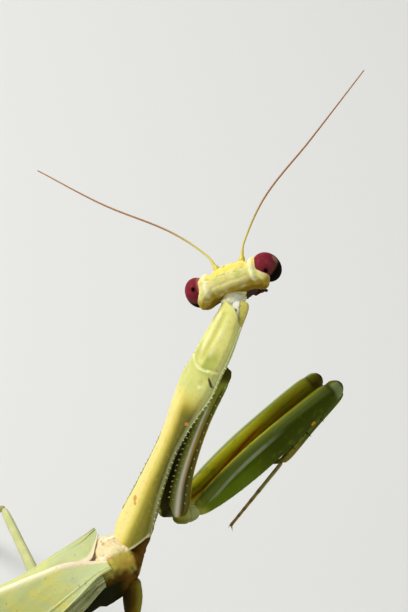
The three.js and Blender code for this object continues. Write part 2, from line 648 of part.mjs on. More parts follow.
function buildWalkingLeg(leg) {
  const up = new THREE.Vector3(0, 0, 1);
  const [hip, hipEnd, knee] = [leg.hip, leg.hipEnd, leg.knee].map((spot) => onBody(...spot));
  const drop = knee.z - ANKLE_HEIGHT;
  const reach = Math.sqrt(leg.shin ** 2 - drop ** 2);
  const ankle = knee.clone().addScaledVector(heading(leg.shinHeading, leg.side), reach).setZ(ANKLE_HEIGHT);
  const place = (segment, table, from, to, rings, sides, material = FINISH.legGreen) => {
    const name = `${leg.name}_${segment}`;
    const shape = limb(table, from.distanceTo(to), rings, sides);
    nodes[name] = aim(part(root, name, shape, material), from, to, up);
  };
  const trim = (from, to, start, end) => {
    const step = to.clone().sub(from).normalize();
    return [from.clone().addScaledVector(step, start), to.clone().addScaledVector(step, -end)];
  };
  place("coxa", HIP_TABLE, hip, hipEnd, 5, 8, FINISH.thoraxOlive);
  place("femur", THIGH_TABLE, ...trim(hipEnd, knee, 0.15, 0), 6, 8);
  place("tibia", SHIN_TABLE, ...trim(knee, ankle, 0.1, 0), 5, 8);
  makeRoom(nodes[`${leg.name}_coxa`], [nodes[`${leg.name}_femur`]]);
  makeRoom(nodes[`${leg.name}_tibia`], [nodes[`${leg.name}_femur`]]);
  const start = ankle.clone().setZ(0);
  const foot = flatTarsus(start, heading(leg.tarsusHeading, leg.side), leg.tarsus);
  nodes[`${leg.name}_tarsus`] = part(root, `${leg.name}_tarsus`, foot, FINISH.tarsusBrown);
}

// ---------- the whole animal ----------

root.updateMatrixWorld(true);
buildProthorax();
buildHead();
for (const [side, sign] of SIDES) buildForeleg(side, sign);
buildThorax();
buildAbdomen();
buildWings();
root.updateMatrixWorld(true);
WALKING_LEGS.forEach(buildWalkingLeg);

const named = (...names) => names.map((name) => nodes[name]);
makeRoom(nodes.hindwing_left, named("hindleg_left_coxa"));
makeRoom(nodes.hindwing_right, named("hindleg_right_coxa"));
makeRoom(nodes.neck, named("head", "prothorax"));
makeRoom(nodes.prothorax, named("foreleg_left_coxa", "foreleg_right_coxa"));
makeRoom(nodes.mesothorax, named("prothorax", "midleg_left_coxa", "midleg_right_coxa",
  "tegmen_left", "tegmen_right", "hindwing_left", "hindwing_right"));
makeRoom(nodes.metathorax, named("midleg_left_coxa", "hindleg_left_coxa", "hindleg_right_coxa",
  "tegmen_left", "tegmen_right", "hindwing_left", "hindwing_right"));
makeRoom(nodes.abdomen_1, named("hindleg_left_coxa", "hindleg_right_coxa",
  "hindwing_left", "hindwing_right"));

// The whole stands with its box centred over the origin, on the floor.
const box = new THREE.Box3().setFromObject(root, true);
const middle = box.getCenter(new THREE.Vector3());
root.position.set(-middle.x, -middle.y, -box.min.z);
root.updateMatrixWorld(true);

export default root;
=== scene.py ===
"""A praying mantis at life size, standing on its walking legs with its head turned to its left.

Lengths in the builder classes are millimetres in a piece's own anatomical frame: X to the
animal's left, Y backwards, Z up. A limb runs along its own Z with its upper side towards Y.
`set_down` puts a finished mesh into the world, in metres.
"""

import logging
import math
import random
from dataclasses import asdict, dataclass
from enum import Enum
from typing import Callable, Iterable, Sequence

import bpy
from mathutils import Matrix, Vector, noise


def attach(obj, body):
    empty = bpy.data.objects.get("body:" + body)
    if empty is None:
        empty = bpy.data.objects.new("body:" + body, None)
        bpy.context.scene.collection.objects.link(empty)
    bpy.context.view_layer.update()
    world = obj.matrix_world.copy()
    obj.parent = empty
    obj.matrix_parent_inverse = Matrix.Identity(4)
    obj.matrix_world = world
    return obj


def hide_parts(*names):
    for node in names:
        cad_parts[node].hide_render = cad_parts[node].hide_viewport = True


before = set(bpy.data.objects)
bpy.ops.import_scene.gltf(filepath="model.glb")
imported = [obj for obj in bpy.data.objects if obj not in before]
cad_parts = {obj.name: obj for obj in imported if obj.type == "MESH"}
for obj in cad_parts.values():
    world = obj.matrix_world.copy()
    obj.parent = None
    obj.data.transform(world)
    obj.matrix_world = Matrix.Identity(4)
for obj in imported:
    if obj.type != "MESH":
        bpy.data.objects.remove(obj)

log = logging.getLogger("mantis")

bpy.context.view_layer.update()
METRE = 0.001
ROOT_BODY = "root"
SIDES = (("left", 1), ("right", -1))
ORIGIN = Vector((0, 0, 0))
Y_AXIS = Vector((0, 1, 0))
Z_AXIS = Vector((0, 0, 1))
SAME = 1e-4
SMOOTH_ANGLE = 50
RINGS_AT_ONCE = 100
EYE_FACETS_PER_MM = 16.0
WING_CELLS_PER_MM = 5.0
FLOAT, VECTOR = "NodeSocketFloat", "NodeSocketVector"

Piece = bpy.types.Object
Socket = bpy.types.NodeSocket
Tree = bpy.types.NodeTree
Place = tuple[float, float, float]
Masks = tuple[float, float, float]
Row = Sequence[float]
Table = Sequence[Row]  # a limb's rows: part of the length, half width, half depth, bow to its upper side
Relief = Callable[[Vector], float]
Marks = Callable[[Vector], Masks]
Sweep = Callable[[float, float], Vector]  # a surface: the place for its two parameters


# ---------- curves and frames ----------


def along(table: Table, t: float) -> list[float]:
    """Read rows of (t, value, value, ...) as smooth curves of t.

    Args:
        table: rows in order of t.
        t: where to read them.

    Returns:
        The values at t.
    """
    last = len(table) - 1
    i = 0
    while i < last - 1 and t > table[i + 1][0]:
        i += 1
    here, after = table[i], table[i + 1]
    before, beyond = table[max(i - 1, 0)], table[min(i + 2, last)]
    span = after[0] - here[0]
    u = min(max((t - here[0]) / span, 0), 1)
    u2, u3 = u * u, u * u * u
    values = []
    for k in range(1, len(here)):
        slope_here = (after[k] - before[k]) / (after[0] - before[0]) * span
        slope_end = (beyond[k] - here[k]) / (beyond[0] - here[0]) * span
        values.append((2 * u3 - 3 * u2 + 1) * here[k] + (u3 - 2 * u2 + u) * slope_here
                      + (3 * u2 - 2 * u3) * after[k] + (u3 - u2) * slope_end)
    return values


def mix(a: float, b: float, t: float) -> float:
    """Return the value a part t of the way from a to b."""
    return a + (b - a) * t


def smooth(t: float) -> float:
    """Return a soft step that rises from 0 to 1 while t goes from 0 to 1."""
    t = min(max(t, 0), 1)
    return t * t * (3 - 2 * t)


def hump(distance: float, width: float) -> float:
    """Return a bell of height 1 that falls away over a width."""
    return math.exp(-(distance / width) ** 2)


def between(value: float, low: float, high: float, soft: float) -> float:
    """Return 1 from low to high, fading to 0 over a soft margin outside them."""
    return smooth((value - low) / soft + 1) * smooth((high - value) / soft + 1)


@dataclass(frozen=True)
class Span:
    """A stretch of one anatomical axis, in millimetres, with soft ends."""

    low: float
    high: float
    soft: float

    def at(self, value: float) -> float:
        """Return 1 inside the stretch, fading to 0 outside it."""
        return between(value, self.low, self.high, self.soft)


@dataclass(frozen=True)
class Bell:
    """A soft line across one anatomical axis, in millimetres."""

    middle: float
    width: float

    def at(self, value: float) -> float:
        """Return 1 on the line, falling away over the width."""
        return hump(value - self.middle, self.width)


@dataclass(frozen=True)
class Feature:
    """A ridge or bump of a surface, or a groove or pit where its height is negative."""

    name: str
    height: float
    across: Span | Bell | None = None
    ahead: Span | Bell | None = None
    up: Span | Bell | None = None

    def at(self, across: float, ahead: float, up: float) -> float:
        """Return the height that the feature gives to a place."""
        profiles = ((self.across, across), (self.ahead, ahead), (self.up, up))
        return self.height * math.prod(profile.at(value) for profile, value in profiles if profile)


def raised(features: Iterable[Feature], across: float, ahead: float, up: float = 0) -> float:
    """Return the height that some features give to a place together."""
    return sum(feature.at(across, ahead, up) for feature in features)


def rough(place: Vector, *grains: tuple[float, float]) -> float:
    """Return the height of some grains of noise, each with its height and how many to the millimetre."""
    return sum(height * noise.noise(place * scale) for height, scale in grains)


def point(ahead: float, up: float, left: float) -> Vector:
    """Return a place in a trunk frame from its distances ahead, up and to the left."""
    return Vector((left, -ahead, up))


def turn(axis: str, degrees: float) -> Matrix:
    """Return a rotation by some degrees about an axis."""
    return Matrix.Rotation(math.radians(degrees), 4, axis)


def aim(start: Vector, end: Vector, upper: Vector) -> Matrix:
    """Return the place of a limb.

    Args:
        start: where the limb begins.
        end: where it points to.
        upper: the direction that its upper side faces.

    Returns:
        A matrix from the limb's own frame to the frame of its ends.
    """
    axis = (end - start).normalized()
    deep = (upper - axis * upper.dot(axis)).normalized()
    basis = Matrix((deep.cross(axis), deep, axis)).transposed()
    return Matrix.Translation(start) @ basis.to_4x4()


@dataclass(frozen=True)
class Stance:
    """How the animal stands: where its trunk frames lie, in millimetres and degrees."""

    waist: Place = (-1.8312, -9.8725, 17.5)
    body_pitch: float = 10
    prothorax_pitch: float = 59
    prothorax_yaw: float = 10
    prothorax_rise: float = 0.42
    neck_end: float = 21.56
    head_drop: float = 0.24
    head_ahead: float = 1.9
    head_yaw: float = 53
    head_roll: float = 20
    head_pitch: float = 2

    def body(self) -> Matrix:
        """Return the frame of the rear thorax, abdomen and wings."""
        return Matrix.Translation(self.waist) @ turn("X", -self.body_pitch)

    def prothorax(self) -> Matrix:
        """Return the frame of the long prothorax and the forelegs."""
        place = turn("Z", self.prothorax_yaw) @ turn("X", -self.prothorax_pitch)
        return Matrix.Translation(self.waist) @ place @ Matrix.Translation((0, 0, self.prothorax_rise))

    def head_in_prothorax(self) -> Matrix:
        """Return the head's frame inside the prothorax's frame."""
        place = turn("Z", self.head_yaw) @ turn("Y", -self.head_roll) @ turn("X", -self.head_pitch)
        nape = Matrix.Translation((0, -self.neck_end, -self.head_drop))
        return nape @ place @ Matrix.Translation((0, -self.head_ahead, 0))

    def head(self) -> Matrix:
        """Return the head's frame."""
        return self.prothorax() @ self.head_in_prothorax()


STANCE = Stance()


# ---------- modelling by hand ----------


class Lay(Enum):
    """Which way a piece's own axes lie, so that its markings can be placed by anatomy."""

    TRUNK = "x to the left, y backwards, z up"
    LIMB = "x across, y up, z towards the tip"

    def anatomical(self, place: Vector) -> Place:
        """Return a place as distances across, along and up."""
        if self is Lay.TRUNK:
            return (place.x, -place.y, place.z)
        return (place.x, place.z, place.y)


def deselect() -> None:
    """Leave edit mode and select nothing."""
    if bpy.context.mode != "OBJECT":
        bpy.ops.object.mode_set(mode="OBJECT")
    bpy.ops.object.select_all(action="DESELECT")


def take(*pieces: Piece) -> None:
    """Select some pieces only, the first one active."""
    deselect()
    for piece in pieces:
        piece.select_set(True)
    bpy.context.view_layer.objects.active = pieces[0]


def edit_all(piece: Piece) -> None:
    """Open a piece in edit mode with all of it selected."""
    take(piece)
    bpy.ops.object.mode_set(mode="EDIT")
    bpy.ops.mesh.select_mode(type="VERT")
    bpy.ops.mesh.select_all(action="SELECT")


def face_outwards(piece: Piece) -> None:
    """Turn every face of a closed piece outwards."""
    edit_all(piece)
    bpy.ops.mesh.normals_make_consistent(inside=False)
    bpy.ops.object.mode_set(mode="OBJECT")


def press(piece: Piece, shape: Callable[[Vector], Vector]) -> None:
    """Move every vertex of a piece to the place that a shape gives for it."""
    for vertex in piece.data.vertices:
        vertex.co = shape(vertex.co.copy())
    piece.data.update()


def emboss(piece: Piece, relief: Relief) -> None:
    """Raise each vertex of a piece along its normal by the height that a relief gives."""
    normals = [vertex.normal.copy() for vertex in piece.data.vertices]
    for vertex, normal in zip(piece.data.vertices, normals):
        vertex.co = vertex.co + normal * relief(vertex.co)
    piece.data.update()


def refine(piece: Piece, levels: int) -> None:
    """Round a piece with an applied subdivision surface."""
    take(piece)
    modifier = piece.modifiers.new("Rounding", "SUBSURF")
    modifier.levels = levels
    modifier.render_levels = levels
    bpy.ops.object.modifier_apply(modifier=modifier.name)


def cut_rings(piece: Piece, cuts: int) -> None:
    """Cut a piece across its edges that run along Z.

    Args:
        piece: the piece to cut.
        cuts: how many cuts each of those edges gets.
    """
    edit_all(piece)
    bpy.ops.mesh.select_mode(type="EDGE")
    bpy.ops.mesh.select_all(action="DESELECT")
    bpy.ops.object.mode_set(mode="OBJECT")
    mesh = piece.data
    for edge in mesh.edges:
        low, high = (mesh.vertices[i].co.z for i in edge.vertices)
        edge.select = abs(high - low) > SAME
    bpy.ops.object.mode_set(mode="EDIT")
    bpy.ops.mesh.subdivide(number_cuts=cuts)
    bpy.ops.object.mode_set(mode="OBJECT")


def loft(name: str, rings: int, sides: int, surface: Sweep,
         marks: Callable[[float, float], Masks] | None = None) -> Piece:
    """Cut a cylinder into rings and press it onto a surface.

    Args:
        name: the piece's name.
        rings: spans between its two ends, and above RINGS_AT_ONCE a multiple of it.
        sides: vertices around it.
        surface: gives the place for a part of the length and an angle around it.
        marks: gives the three masks for the same two values.

    Returns:
        The closed piece.
    """
    deselect()
    bpy.ops.mesh.primitive_cylinder_add(vertices=sides, radius=1, depth=1, end_fill_type="TRIFAN",
                                        location=(0, 0, 0))
    piece = bpy.context.object
    piece.name = name
    press(piece, lambda co: Vector((co.x, co.y, co.z + 0.5)))
    cut_rings(piece, min(rings, RINGS_AT_ONCE) - 1)
    if rings > RINGS_AT_ONCE:
        cut_rings(piece, rings // RINGS_AT_ONCE - 1)
    if marks:
        mark(piece, lambda co: marks(co.z, math.atan2(co.y, co.x)))

    def onto(co: Vector) -> Vector:
        if co.xy.length < 0.5:
            ring = [surface(round(co.z), 2 * math.pi * j / sides) for j in range(sides)]
            return sum(ring, Vector()) / sides
        return surface(co.z, math.atan2(co.y, co.x))

    press(piece, onto)
    face_outwards(piece)
    return piece


def grow_limb(name: str, rows: Table, length: float, sides: int = 12, levels: int = 2) -> Piece:
    """Grow a limb along +Z from a disc, one extrusion for each row, and round it.

    Args:
        name: the limb's name.
        rows: part of the length, half width, half depth and bow towards the upper side.
        length: the limb's length.
        sides: vertices around it before it is rounded.
        levels: levels of rounding.

    Returns:
        The closed limb.
    """
    swell = 3 / (2 + math.cos(2 * math.pi / sides)) if levels else 1
    deselect()
    bpy.ops.mesh.primitive_circle_add(vertices=sides, radius=1, fill_type="NGON", location=(0, 0, 0))
    limb = bpy.context.object
    limb.name = name
    edit_all(limb)
    t, width, depth, bow = rows[0]
    bpy.ops.transform.resize(value=(width * swell, depth * swell, 1), center_override=(0, 0, 0))
    bpy.ops.transform.translate(value=(0, bow, t * length))
    for next_t, next_width, next_depth, next_bow in rows[1:]:
        step = (0, next_bow - bow, (next_t - t) * length)
        bpy.ops.mesh.extrude_region_move(TRANSFORM_OT_translate={"value": step})
        bpy.ops.transform.resize(value=(next_width / width, next_depth / depth, 1),
                                 center_override=(0, next_bow, next_t * length))
        t, width, depth, bow = next_t, next_width, next_depth, next_bow
    bpy.ops.object.mode_set(mode="OBJECT")
    face_outwards(limb)
    if levels:
        refine(limb, levels)
    return limb


def sampled(table: Table, rows: int) -> list[list[float]]:
    """Read a limb's table at even steps, with the ends drawn in, for `grow_limb`."""
    steps = [table[0][0]] + [i / rows for i in range(1, rows)] + [table[-1][0]]
    return [[t, *along(table, t)] for t in steps]


def thorn(length: float, radius: float, bend: float = 0.0, sides: int = 6) -> Piece:
    """Make a pointed thorn along +Z that bends towards +Y.

    Args:
        length: its length.
        radius: its radius at the foot.
        bend: how far its tip bends over, as a part of its length.
        sides: vertices around it.

    Returns:
        The thorn, with its tip marked as dark.
    """
    deselect()
    bpy.ops.mesh.primitive_cone_add(vertices=sides, radius1=radius, radius2=radius * 0.12, depth=length,
                                    location=(0, 0, 0))
    spine = bpy.context.object
    cut_rings(spine, 4)

    def shape(co: Vector) -> Vector:
        t = co.z / length + 0.5
        belly = 1 + 0.25 * math.sin(math.pi * t)
        return Vector((co.x * belly, co.y * belly + bend * length * t * t, t * length))

    press(spine, shape)
    mark(spine, lambda co: (0, 0, smooth(co.z / length * 1.3 - 0.2)))
    return spine


def ball(name: str, center: Vector, radius: Sequence[float], segments: int = 24, rings: int = 16
         ) -> Piece:
    """Make a rounded body with its poles along Z.

    Args:
        name: the piece's name.
        center: its middle.
        radius: its half sizes along X, Y and Z.
        segments: vertices around it.
        rings: spans from pole to pole.

    Returns:
        The closed body.
    """
    deselect()
    bpy.ops.mesh.primitive_uv_sphere_add(segments=segments, ring_count=rings, radius=1, location=(0, 0, 0))
    body = bpy.context.object
    body.name = name
    edit_all(body)
    bpy.ops.transform.resize(value=tuple(radius), center_override=(0, 0, 0))
    bpy.ops.transform.translate(value=tuple(center))
    bpy.ops.object.mode_set(mode="OBJECT")
    return body


def copies(piece: Piece, places: Iterable[Matrix]) -> list[Piece]:
    """Copy a piece, with its own mesh, to each place and remove the first one."""
    twins = []
    for place in places:
        twin = piece.copy()
        twin.data = piece.data.copy()
        bpy.context.collection.objects.link(twin)
        twin.data.transform(place)
        twins.append(twin)
    bpy.data.objects.remove(piece)
    return twins


def pair(foot: Place, tip: Place, upper: Vector) -> list[Matrix]:
    """Return the places of two mirrored spurs or claws of a limb, from a foot to a tip beside its +X."""
    return [aim(Vector((foot[0] * s, *foot[1:])), Vector((tip[0] * s, *tip[1:])), upper) for s in (1, -1)]


def weld(name: str, pieces: Sequence[Piece]) -> Piece:
    """Join pieces into one that keeps each one's materials.

    Args:
        name: the joined piece's name.
        pieces: the pieces, the first of which takes in the others.

    Returns:
        The joined piece.
    """
    take(*pieces)
    if len(pieces) > 1:
        bpy.ops.object.join()
    whole = pieces[0]
    whole.name = name
    whole.data.name = name
    return whole


def mark(piece: Piece, marks: Marks) -> None:
    """Store three masks on each vertex, for its rims, its ridges and its dark places, which on some pieces
    also carry painted shade and highlights.
    """
    mesh = piece.data
    layer = mesh.attributes.get("marks") or mesh.attributes.new("marks", "FLOAT_VECTOR", "POINT")
    flat = [value for vertex in mesh.vertices for value in marks(vertex.co)]
    layer.data.foreach_set("vector", flat)


def set_down(piece: Piece, lay: Lay, home: Matrix) -> Piece:
    """Store each vertex's anatomical place and put the piece into the world.

    Args:
        piece: a piece modelled in millimetres in its own frame.
        lay: which way its own axes lie.
        home: the matrix from its own frame to the world, in millimetres.

    Returns:
        The piece, in metres, with its object at the origin.
    """
    mesh = piece.data
    layer = mesh.attributes.get("place") or mesh.attributes.new("place", "FLOAT_VECTOR", "POINT")
    flat = [value for vertex in mesh.vertices for value in lay.anatomical(vertex.co)]
    layer.data.foreach_set("vector", flat)
    piece.matrix_world = Matrix.Scale(METRE, 4) @ home
    take(piece)
    bpy.ops.object.transform_apply(location=True, rotation=True, scale=True)
    take(piece)
    bpy.ops.object.shade_smooth_by_angle(angle=math.radians(SMOOTH_ANGLE))
    return piece


# ---------- finishes ----------


class Mark(Enum):
    """The three masks that `mark` stores."""

    RIM = "X"
    RIDGE = "Y"
    DARK = "Z"


@dataclass(frozen=True)
class Mottle:
    """Patches of noise: how many to the millimetre, and the part of the noise that counts."""

    scale: float
    low: float
    high: float


@dataclass(frozen=True)
class Spot:
    """A round mark about a place."""

    center: Place
    reach: float
    soft: float


@dataclass(frozen=True)
class Layer:
    """A colour laid over a finish wherever all its conditions hold."""

    color: str
    strength: float
    where: Mark | Mottle | Spot | None = None
    across: Span | None = None
    along: Span | None = None
    up: Span | None = None


@dataclass(frozen=True)
class Finish:
    """How a surface looks: colours, gloss, depth and relief."""

    name: str
    base: str
    layers: tuple[Layer, ...]
    roughness: float = 0.42
    sheen_patches: float = 0.12
    coat: float = 0.15
    flesh: float = 0.12
    grain_scale: float = 9.0
    grain: float = 0.5
    wave_scale: float = 1.6
    wave: float = 0.5
    depth: float = 0.00003
    facets: float = 0.0
    net: float = 0.0
    gloss: float = 0.3


def linear(color: str) -> tuple[float, float, float, float]:
    """Return a hex colour as linear red, green and blue with full alpha."""
    channels = [int(color[i:i + 2], 16) / 255 for i in (1, 3, 5)]
    return (*(c / 12.92 if c <= 0.04045 else ((c + 0.055) / 1.055) ** 2.4 for c in channels), 1.0)


class Nodes:
    """Shader nodes under construction in one tree, and the links between them."""

    def __init__(self, tree: Tree) -> None:
        """Start with a tree."""
        self.tree = tree

    def node(self, kind: str, **settings: object) -> bpy.types.Node:
        """Add a node with some of its settings."""
        made = self.tree.nodes.new(kind)
        for key, value in settings.items():
            setattr(made, key, value)
        return made

    def link(self, source: Socket, target: Socket) -> None:
        """Link two sockets."""
        self.tree.links.new(source, target)

    def feed(self, socket: Socket, value: object) -> None:
        """Link a socket to another one, or give it a plain value."""
        if isinstance(value, Socket):
            self.link(value, socket)
        else:
            socket.default_value = value

    def math(self, operation: str, a: object, b: object) -> Socket:
        """Add a math node on two sockets or numbers and return what it gives."""
        made = self.node("ShaderNodeMath", operation=operation)
        self.feed(made.inputs[0], a)
        self.feed(made.inputs[1], b)
        return made.outputs[0]


class Group(Nodes):
    """A shader node group under construction."""

    def __init__(self, name: str, inputs: dict[str, str], output: str) -> None:
        """Start a group.

        Args:
            name: the group's name.
            inputs: each input's name and socket type.
            output: the name of its one output, a number.
        """
        super().__init__(bpy.data.node_groups.new(name, "ShaderNodeTree"))
        for label, socket in inputs.items():
            self.tree.interface.new_socket(label, in_out="INPUT", socket_type=socket)
        self.tree.interface.new_socket(output, in_out="OUTPUT", socket_type=FLOAT)
        self.start = self.node("NodeGroupInput").outputs
        self.end = self.node("NodeGroupOutput").inputs

    def close(self, result: Socket) -> Tree:
        """Give the group its result and return its finished tree."""
        self.link(result, self.end[0])
        return self.tree

    def step(self, value: object, low: object, high: object, rising: bool = True) -> Socket:
        """Add a smooth step of a value between two others and return what it gives."""
        made = self.node("ShaderNodeMapRange", interpolation_type="SMOOTHSTEP")
        for label, given in (("Value", value), ("From Min", low), ("From Max", high)):
            self.feed(made.inputs[label], given)
        made.inputs["To Min"].default_value = 0.0 if rising else 1.0
        made.inputs["To Max"].default_value = 1.0 if rising else 0.0
        return made.outputs["Result"]

    def noise(self, place: object, scale: object, detail: float) -> Socket:
        """Add a noise texture with a fixed detail and return what it gives."""
        texture = self.node("ShaderNodeTexNoise")
        texture.inputs["Detail"].default_value = detail
        self.link(place, texture.inputs["Vector"])
        self.link(scale, texture.inputs["Scale"])
        return texture.outputs["Fac"]

    def cells(self, place: object, feature: str, scale: float) -> bpy.types.Node:
        """Add a texture of cells with a fixed scale and return its node."""
        texture = self.node("ShaderNodeTexVoronoi", feature=feature)
        texture.inputs["Scale"].default_value = scale
        self.link(place, texture.inputs["Vector"])
        return texture


def span_group() -> Tree:
    """Build the group that masks a stretch of a value, with soft ends."""
    group = Group("Span", {"Value": FLOAT, "Low": FLOAT, "High": FLOAT, "Soft": FLOAT}, "Mask")
    value, low, high, soft = group.start[:4]
    rise = group.step(value, group.math("SUBTRACT", low, soft), low)
    fall = group.step(value, high, group.math("ADD", high, soft), rising=False)
    return group.close(group.math("MULTIPLY", rise, fall))


def mottle_group() -> Tree:
    """Build the group that masks patches of noise."""
    group = Group("Mottle", {"Place": VECTOR, "Scale": FLOAT, "Low": FLOAT, "High": FLOAT}, "Mask")
    place, scale, low, high = group.start[:4]
    return group.close(group.step(group.noise(place, scale, 3.0), low, high))


def spot_group() -> Tree:
    """Build the group that masks a round mark."""
    group = Group("Spot", {"Place": VECTOR, "Center": VECTOR, "Reach": FLOAT, "Soft": FLOAT}, "Mask")
    place, center, reach, soft = group.start[:4]
    distance = group.node("ShaderNodeVectorMath", operation="DISTANCE")
    group.link(place, distance.inputs[0])
    group.link(center, distance.inputs[1])
    far = distance.outputs["Value"]
    return group.close(group.step(far, reach, group.math("ADD", reach, soft), rising=False))


def relief_group() -> Tree:
    """Build the group that gives the fine relief of cuticle: grain, waves, facets and a net."""
    inputs = {"Place": VECTOR, "Grain Scale": FLOAT, "Grain": FLOAT, "Wave Scale": FLOAT, "Wave": FLOAT,
              "Facets": FLOAT, "Net": FLOAT}
    group = Group("Cuticle relief", inputs, "Height")
    place, grain_scale, grain, wave_scale, wave, facets, net = group.start[:7]
    heights = []
    for scale, amount, detail in ((grain_scale, grain, 4.0), (wave_scale, wave, 2.0)):
        heights.append(group.math("MULTIPLY", group.noise(place, scale, detail), amount))
    lenses = group.cells(place, "F1", EYE_FACETS_PER_MM)
    lenses.inputs["Randomness"].default_value = 0.25
    dome = group.math("MULTIPLY", group.step(lenses.outputs["Distance"], 0.15, 0.6, rising=False), facets)
    veins = group.cells(place, "DISTANCE_TO_EDGE", WING_CELLS_PER_MM)
    strand = group.math("MULTIPLY", group.step(veins.outputs["Distance"], 0.02, 0.12, rising=False), net)
    return group.close(group.math("ADD", group.math("ADD", *heights), group.math("ADD", dome, strand)))


class Finisher:
    """Turns finishes into materials, with the shared groups built once."""

    def __init__(self) -> None:
        """Build the shared groups."""
        self.groups = {"span": span_group(), "mottle": mottle_group(), "spot": spot_group(),
                       "relief": relief_group()}
        self.made: dict[str, bpy.types.Material] = {}

    def material(self, finish: Finish) -> bpy.types.Material:
        """Return the material of a finish, made on first use."""
        if finish.name not in self.made:
            self.made[finish.name] = Surface(self.groups, finish).material
        return self.made[finish.name]

    def dress(self, piece: Piece, finish: Finish) -> Piece:
        """Give a piece the one material of a finish."""
        piece.data.materials.clear()
        piece.data.materials.append(self.material(finish))
        return piece


class Surface(Nodes):
    """One material under construction."""

    def __init__(self, groups: dict[str, Tree], finish: Finish) -> None:
        """Build the material.

        Args:
            groups: the shared node groups.
            finish: what the surface looks like.
        """
        self.groups = groups
        self.finish = finish
        self.material = bpy.data.materials.new(finish.name)
        self.material.use_nodes = True
        super().__init__(self.material.node_tree)
        self.shader = self.tree.nodes["Principled BSDF"]
        self.place = self.attribute("place")
        self.axes = self.split(self.place)
        self.marks = self.split(self.attribute("marks"))
        self.paint()
        self.polish()
        self.emboss()

    def attribute(self, name: str) -> Socket:
        """Return the vector that an attribute of the mesh holds."""
        return self.node("ShaderNodeAttribute", attribute_name=name).outputs["Vector"]

    def split(self, vector: Socket) -> dict[str, Socket]:
        """Return a vector's three parts by the names X, Y and Z."""
        node = self.node("ShaderNodeSeparateXYZ")
        self.link(vector, node.inputs[0])
        return {name: node.outputs[name] for name in "XYZ"}

    def shared(self, group: str, **values: object) -> Socket:
        """Place a shared group with its values and return what it gives."""
        node = self.node("ShaderNodeGroup", node_tree=self.groups[group])
        for key, value in values.items():
            self.feed(node.inputs[key.replace("_", " ").title()], value)
        return node.outputs[0]

    def mask(self, layer: Layer) -> Socket:
        """Return where a layer shows."""
        masks = []
        for axis, span in zip("XYZ", (layer.across, layer.along, layer.up)):
            if span:
                masks.append(self.shared("span", value=self.axes[axis], **asdict(span)))
        if isinstance(layer.where, Mark):
            masks.append(self.marks[layer.where.value])
        elif layer.where:
            group = "mottle" if isinstance(layer.where, Mottle) else "spot"
            masks.append(self.shared(group, place=self.place, **asdict(layer.where)))
        whole = masks[0]
        for other in (*masks[1:], layer.strength):
            whole = self.math("MULTIPLY", whole, other)
        return whole

    def paint(self) -> None:
        """Lay the finish's colours over its base."""
        below: object = linear(self.finish.base)
        for layer in self.finish.layers:
            node = self.node("ShaderNodeMix", data_type="RGBA")
            factor, a, b = node.inputs[0], node.inputs[6], node.inputs[7]
            self.feed(factor, self.mask(layer))
            self.feed(a, below)
            self.feed(b, linear(layer.color))
            below = node.outputs[2]
        self.feed(self.shader.inputs["Base Color"], below)

    def polish(self) -> None:
        """Set gloss and depth."""
        finish, inputs = self.finish, self.shader.inputs
        patches = self.shared("mottle", place=self.place, scale=finish.wave_scale * 2, low=0.3, high=0.7)
        spread = self.node("ShaderNodeMapRange")
        spread.inputs["To Min"].default_value = finish.roughness - finish.sheen_patches / 2
        spread.inputs["To Max"].default_value = finish.roughness + finish.sheen_patches / 2
        self.link(patches, spread.inputs["Value"])
        self.link(spread.outputs["Result"], inputs["Roughness"])
        inputs["Specular IOR Level"].default_value = finish.gloss
        inputs["Coat Weight"].default_value = finish.coat
        inputs["Coat Roughness"].default_value = 0.2
        inputs["Subsurface Weight"].default_value = finish.flesh
        inputs["Subsurface Radius"].default_value = (1.0, 0.9, 0.35)
        inputs["Subsurface Scale"].default_value = 0.0004

    def emboss(self) -> None:
        """Give the surface its fine relief."""
        names = ("grain_scale", "grain", "wave_scale", "wave", "facets", "net")
        sizes = {name: getattr(self.finish, name) for name in names}
        height = self.shared("relief", place=self.place, **sizes)
        bump = self.node("ShaderNodeBump")
        bump.inputs["Strength"].default_value = 1.0
        bump.inputs["Distance"].default_value = self.finish.depth
        self.link(height, bump.inputs["Height"])
        self.link(bump.outputs["Normal"], self.shader.inputs["Normal"])


# ---------- the finishes of this animal ----------

HEAD = Finish(
    "head_cream", "#ddd385", (
        Layer("#c0c268", 0.75, Mottle(0.9, 0.47, 0.62)),
        Layer("#e8d05c", 0.8, along=Span(0.3, 3, 0.3)),
        Layer("#a7a548", 0.7, Mottle(1.1, 0.35, 0.6), up=Span(-4, -0.6, 0.5)),
        Layer("#f2ecbc", 0.85, Mark.RIDGE),
        Layer("#a98a14", 0.9, up=Span(-4, 0.75, 0.35), along=Span(-6, -0.7, 0.3)),
        Layer("#7a600a", 0.8, along=Span(-6, -0.9, 0.4), up=Span(-4, 0.1, 0.4)),
        Layer("#efe3b4", 0.45, Mark.RIM),
        Layer("#2c1408", 0.98, up=Span(-5, -0.8, 0.4), along=Span(-6, 0.3, 0.4)),
        Layer("#4a2d12", 0.9, Mark.DARK),
        Layer("#f3ecc6", 0.5, Mottle(1.3, 0.5, 0.78), up=Span(0.3, 3, 0.4)),
    ), roughness=0.48, coat=0.06, grain_scale=7, grain=0.8, wave=1.0, depth=0.00005, gloss=0)

EYE = Finish(
    "eye_maroon", "#7a2731", (
        Layer("#8f3a45", 0.6, Mottle(1.2, 0.42, 0.62)),
        # Painted shade, brown, on the side of each eye turned from the light (the RIM mask).
        Layer("#683f30", 0.85, Mark.RIM),
        # Painted highlight: a pale tan glint on the outer side of each eye.
        Layer("#b58a74", 0.6, Spot((0.9, 0.31, 0.17), 0.1, 0.34)),
        # Painted shade, black, on the rim of each eye turned furthest from the light (the RIDGE mask).
        Layer("#0a0702", 1.0, Mark.RIDGE),
        Layer("#c98a80", 0.5, across=Span(-3, -0.5, 0.26)),
        Layer("#0a0402", 1.0, Mark.DARK),
    ), roughness=0.24, sheen_patches=0.04, coat=0.04, flesh=0.03, grain=0.15, wave=0.0, facets=0.7,
    depth=0.00001, gloss=0)

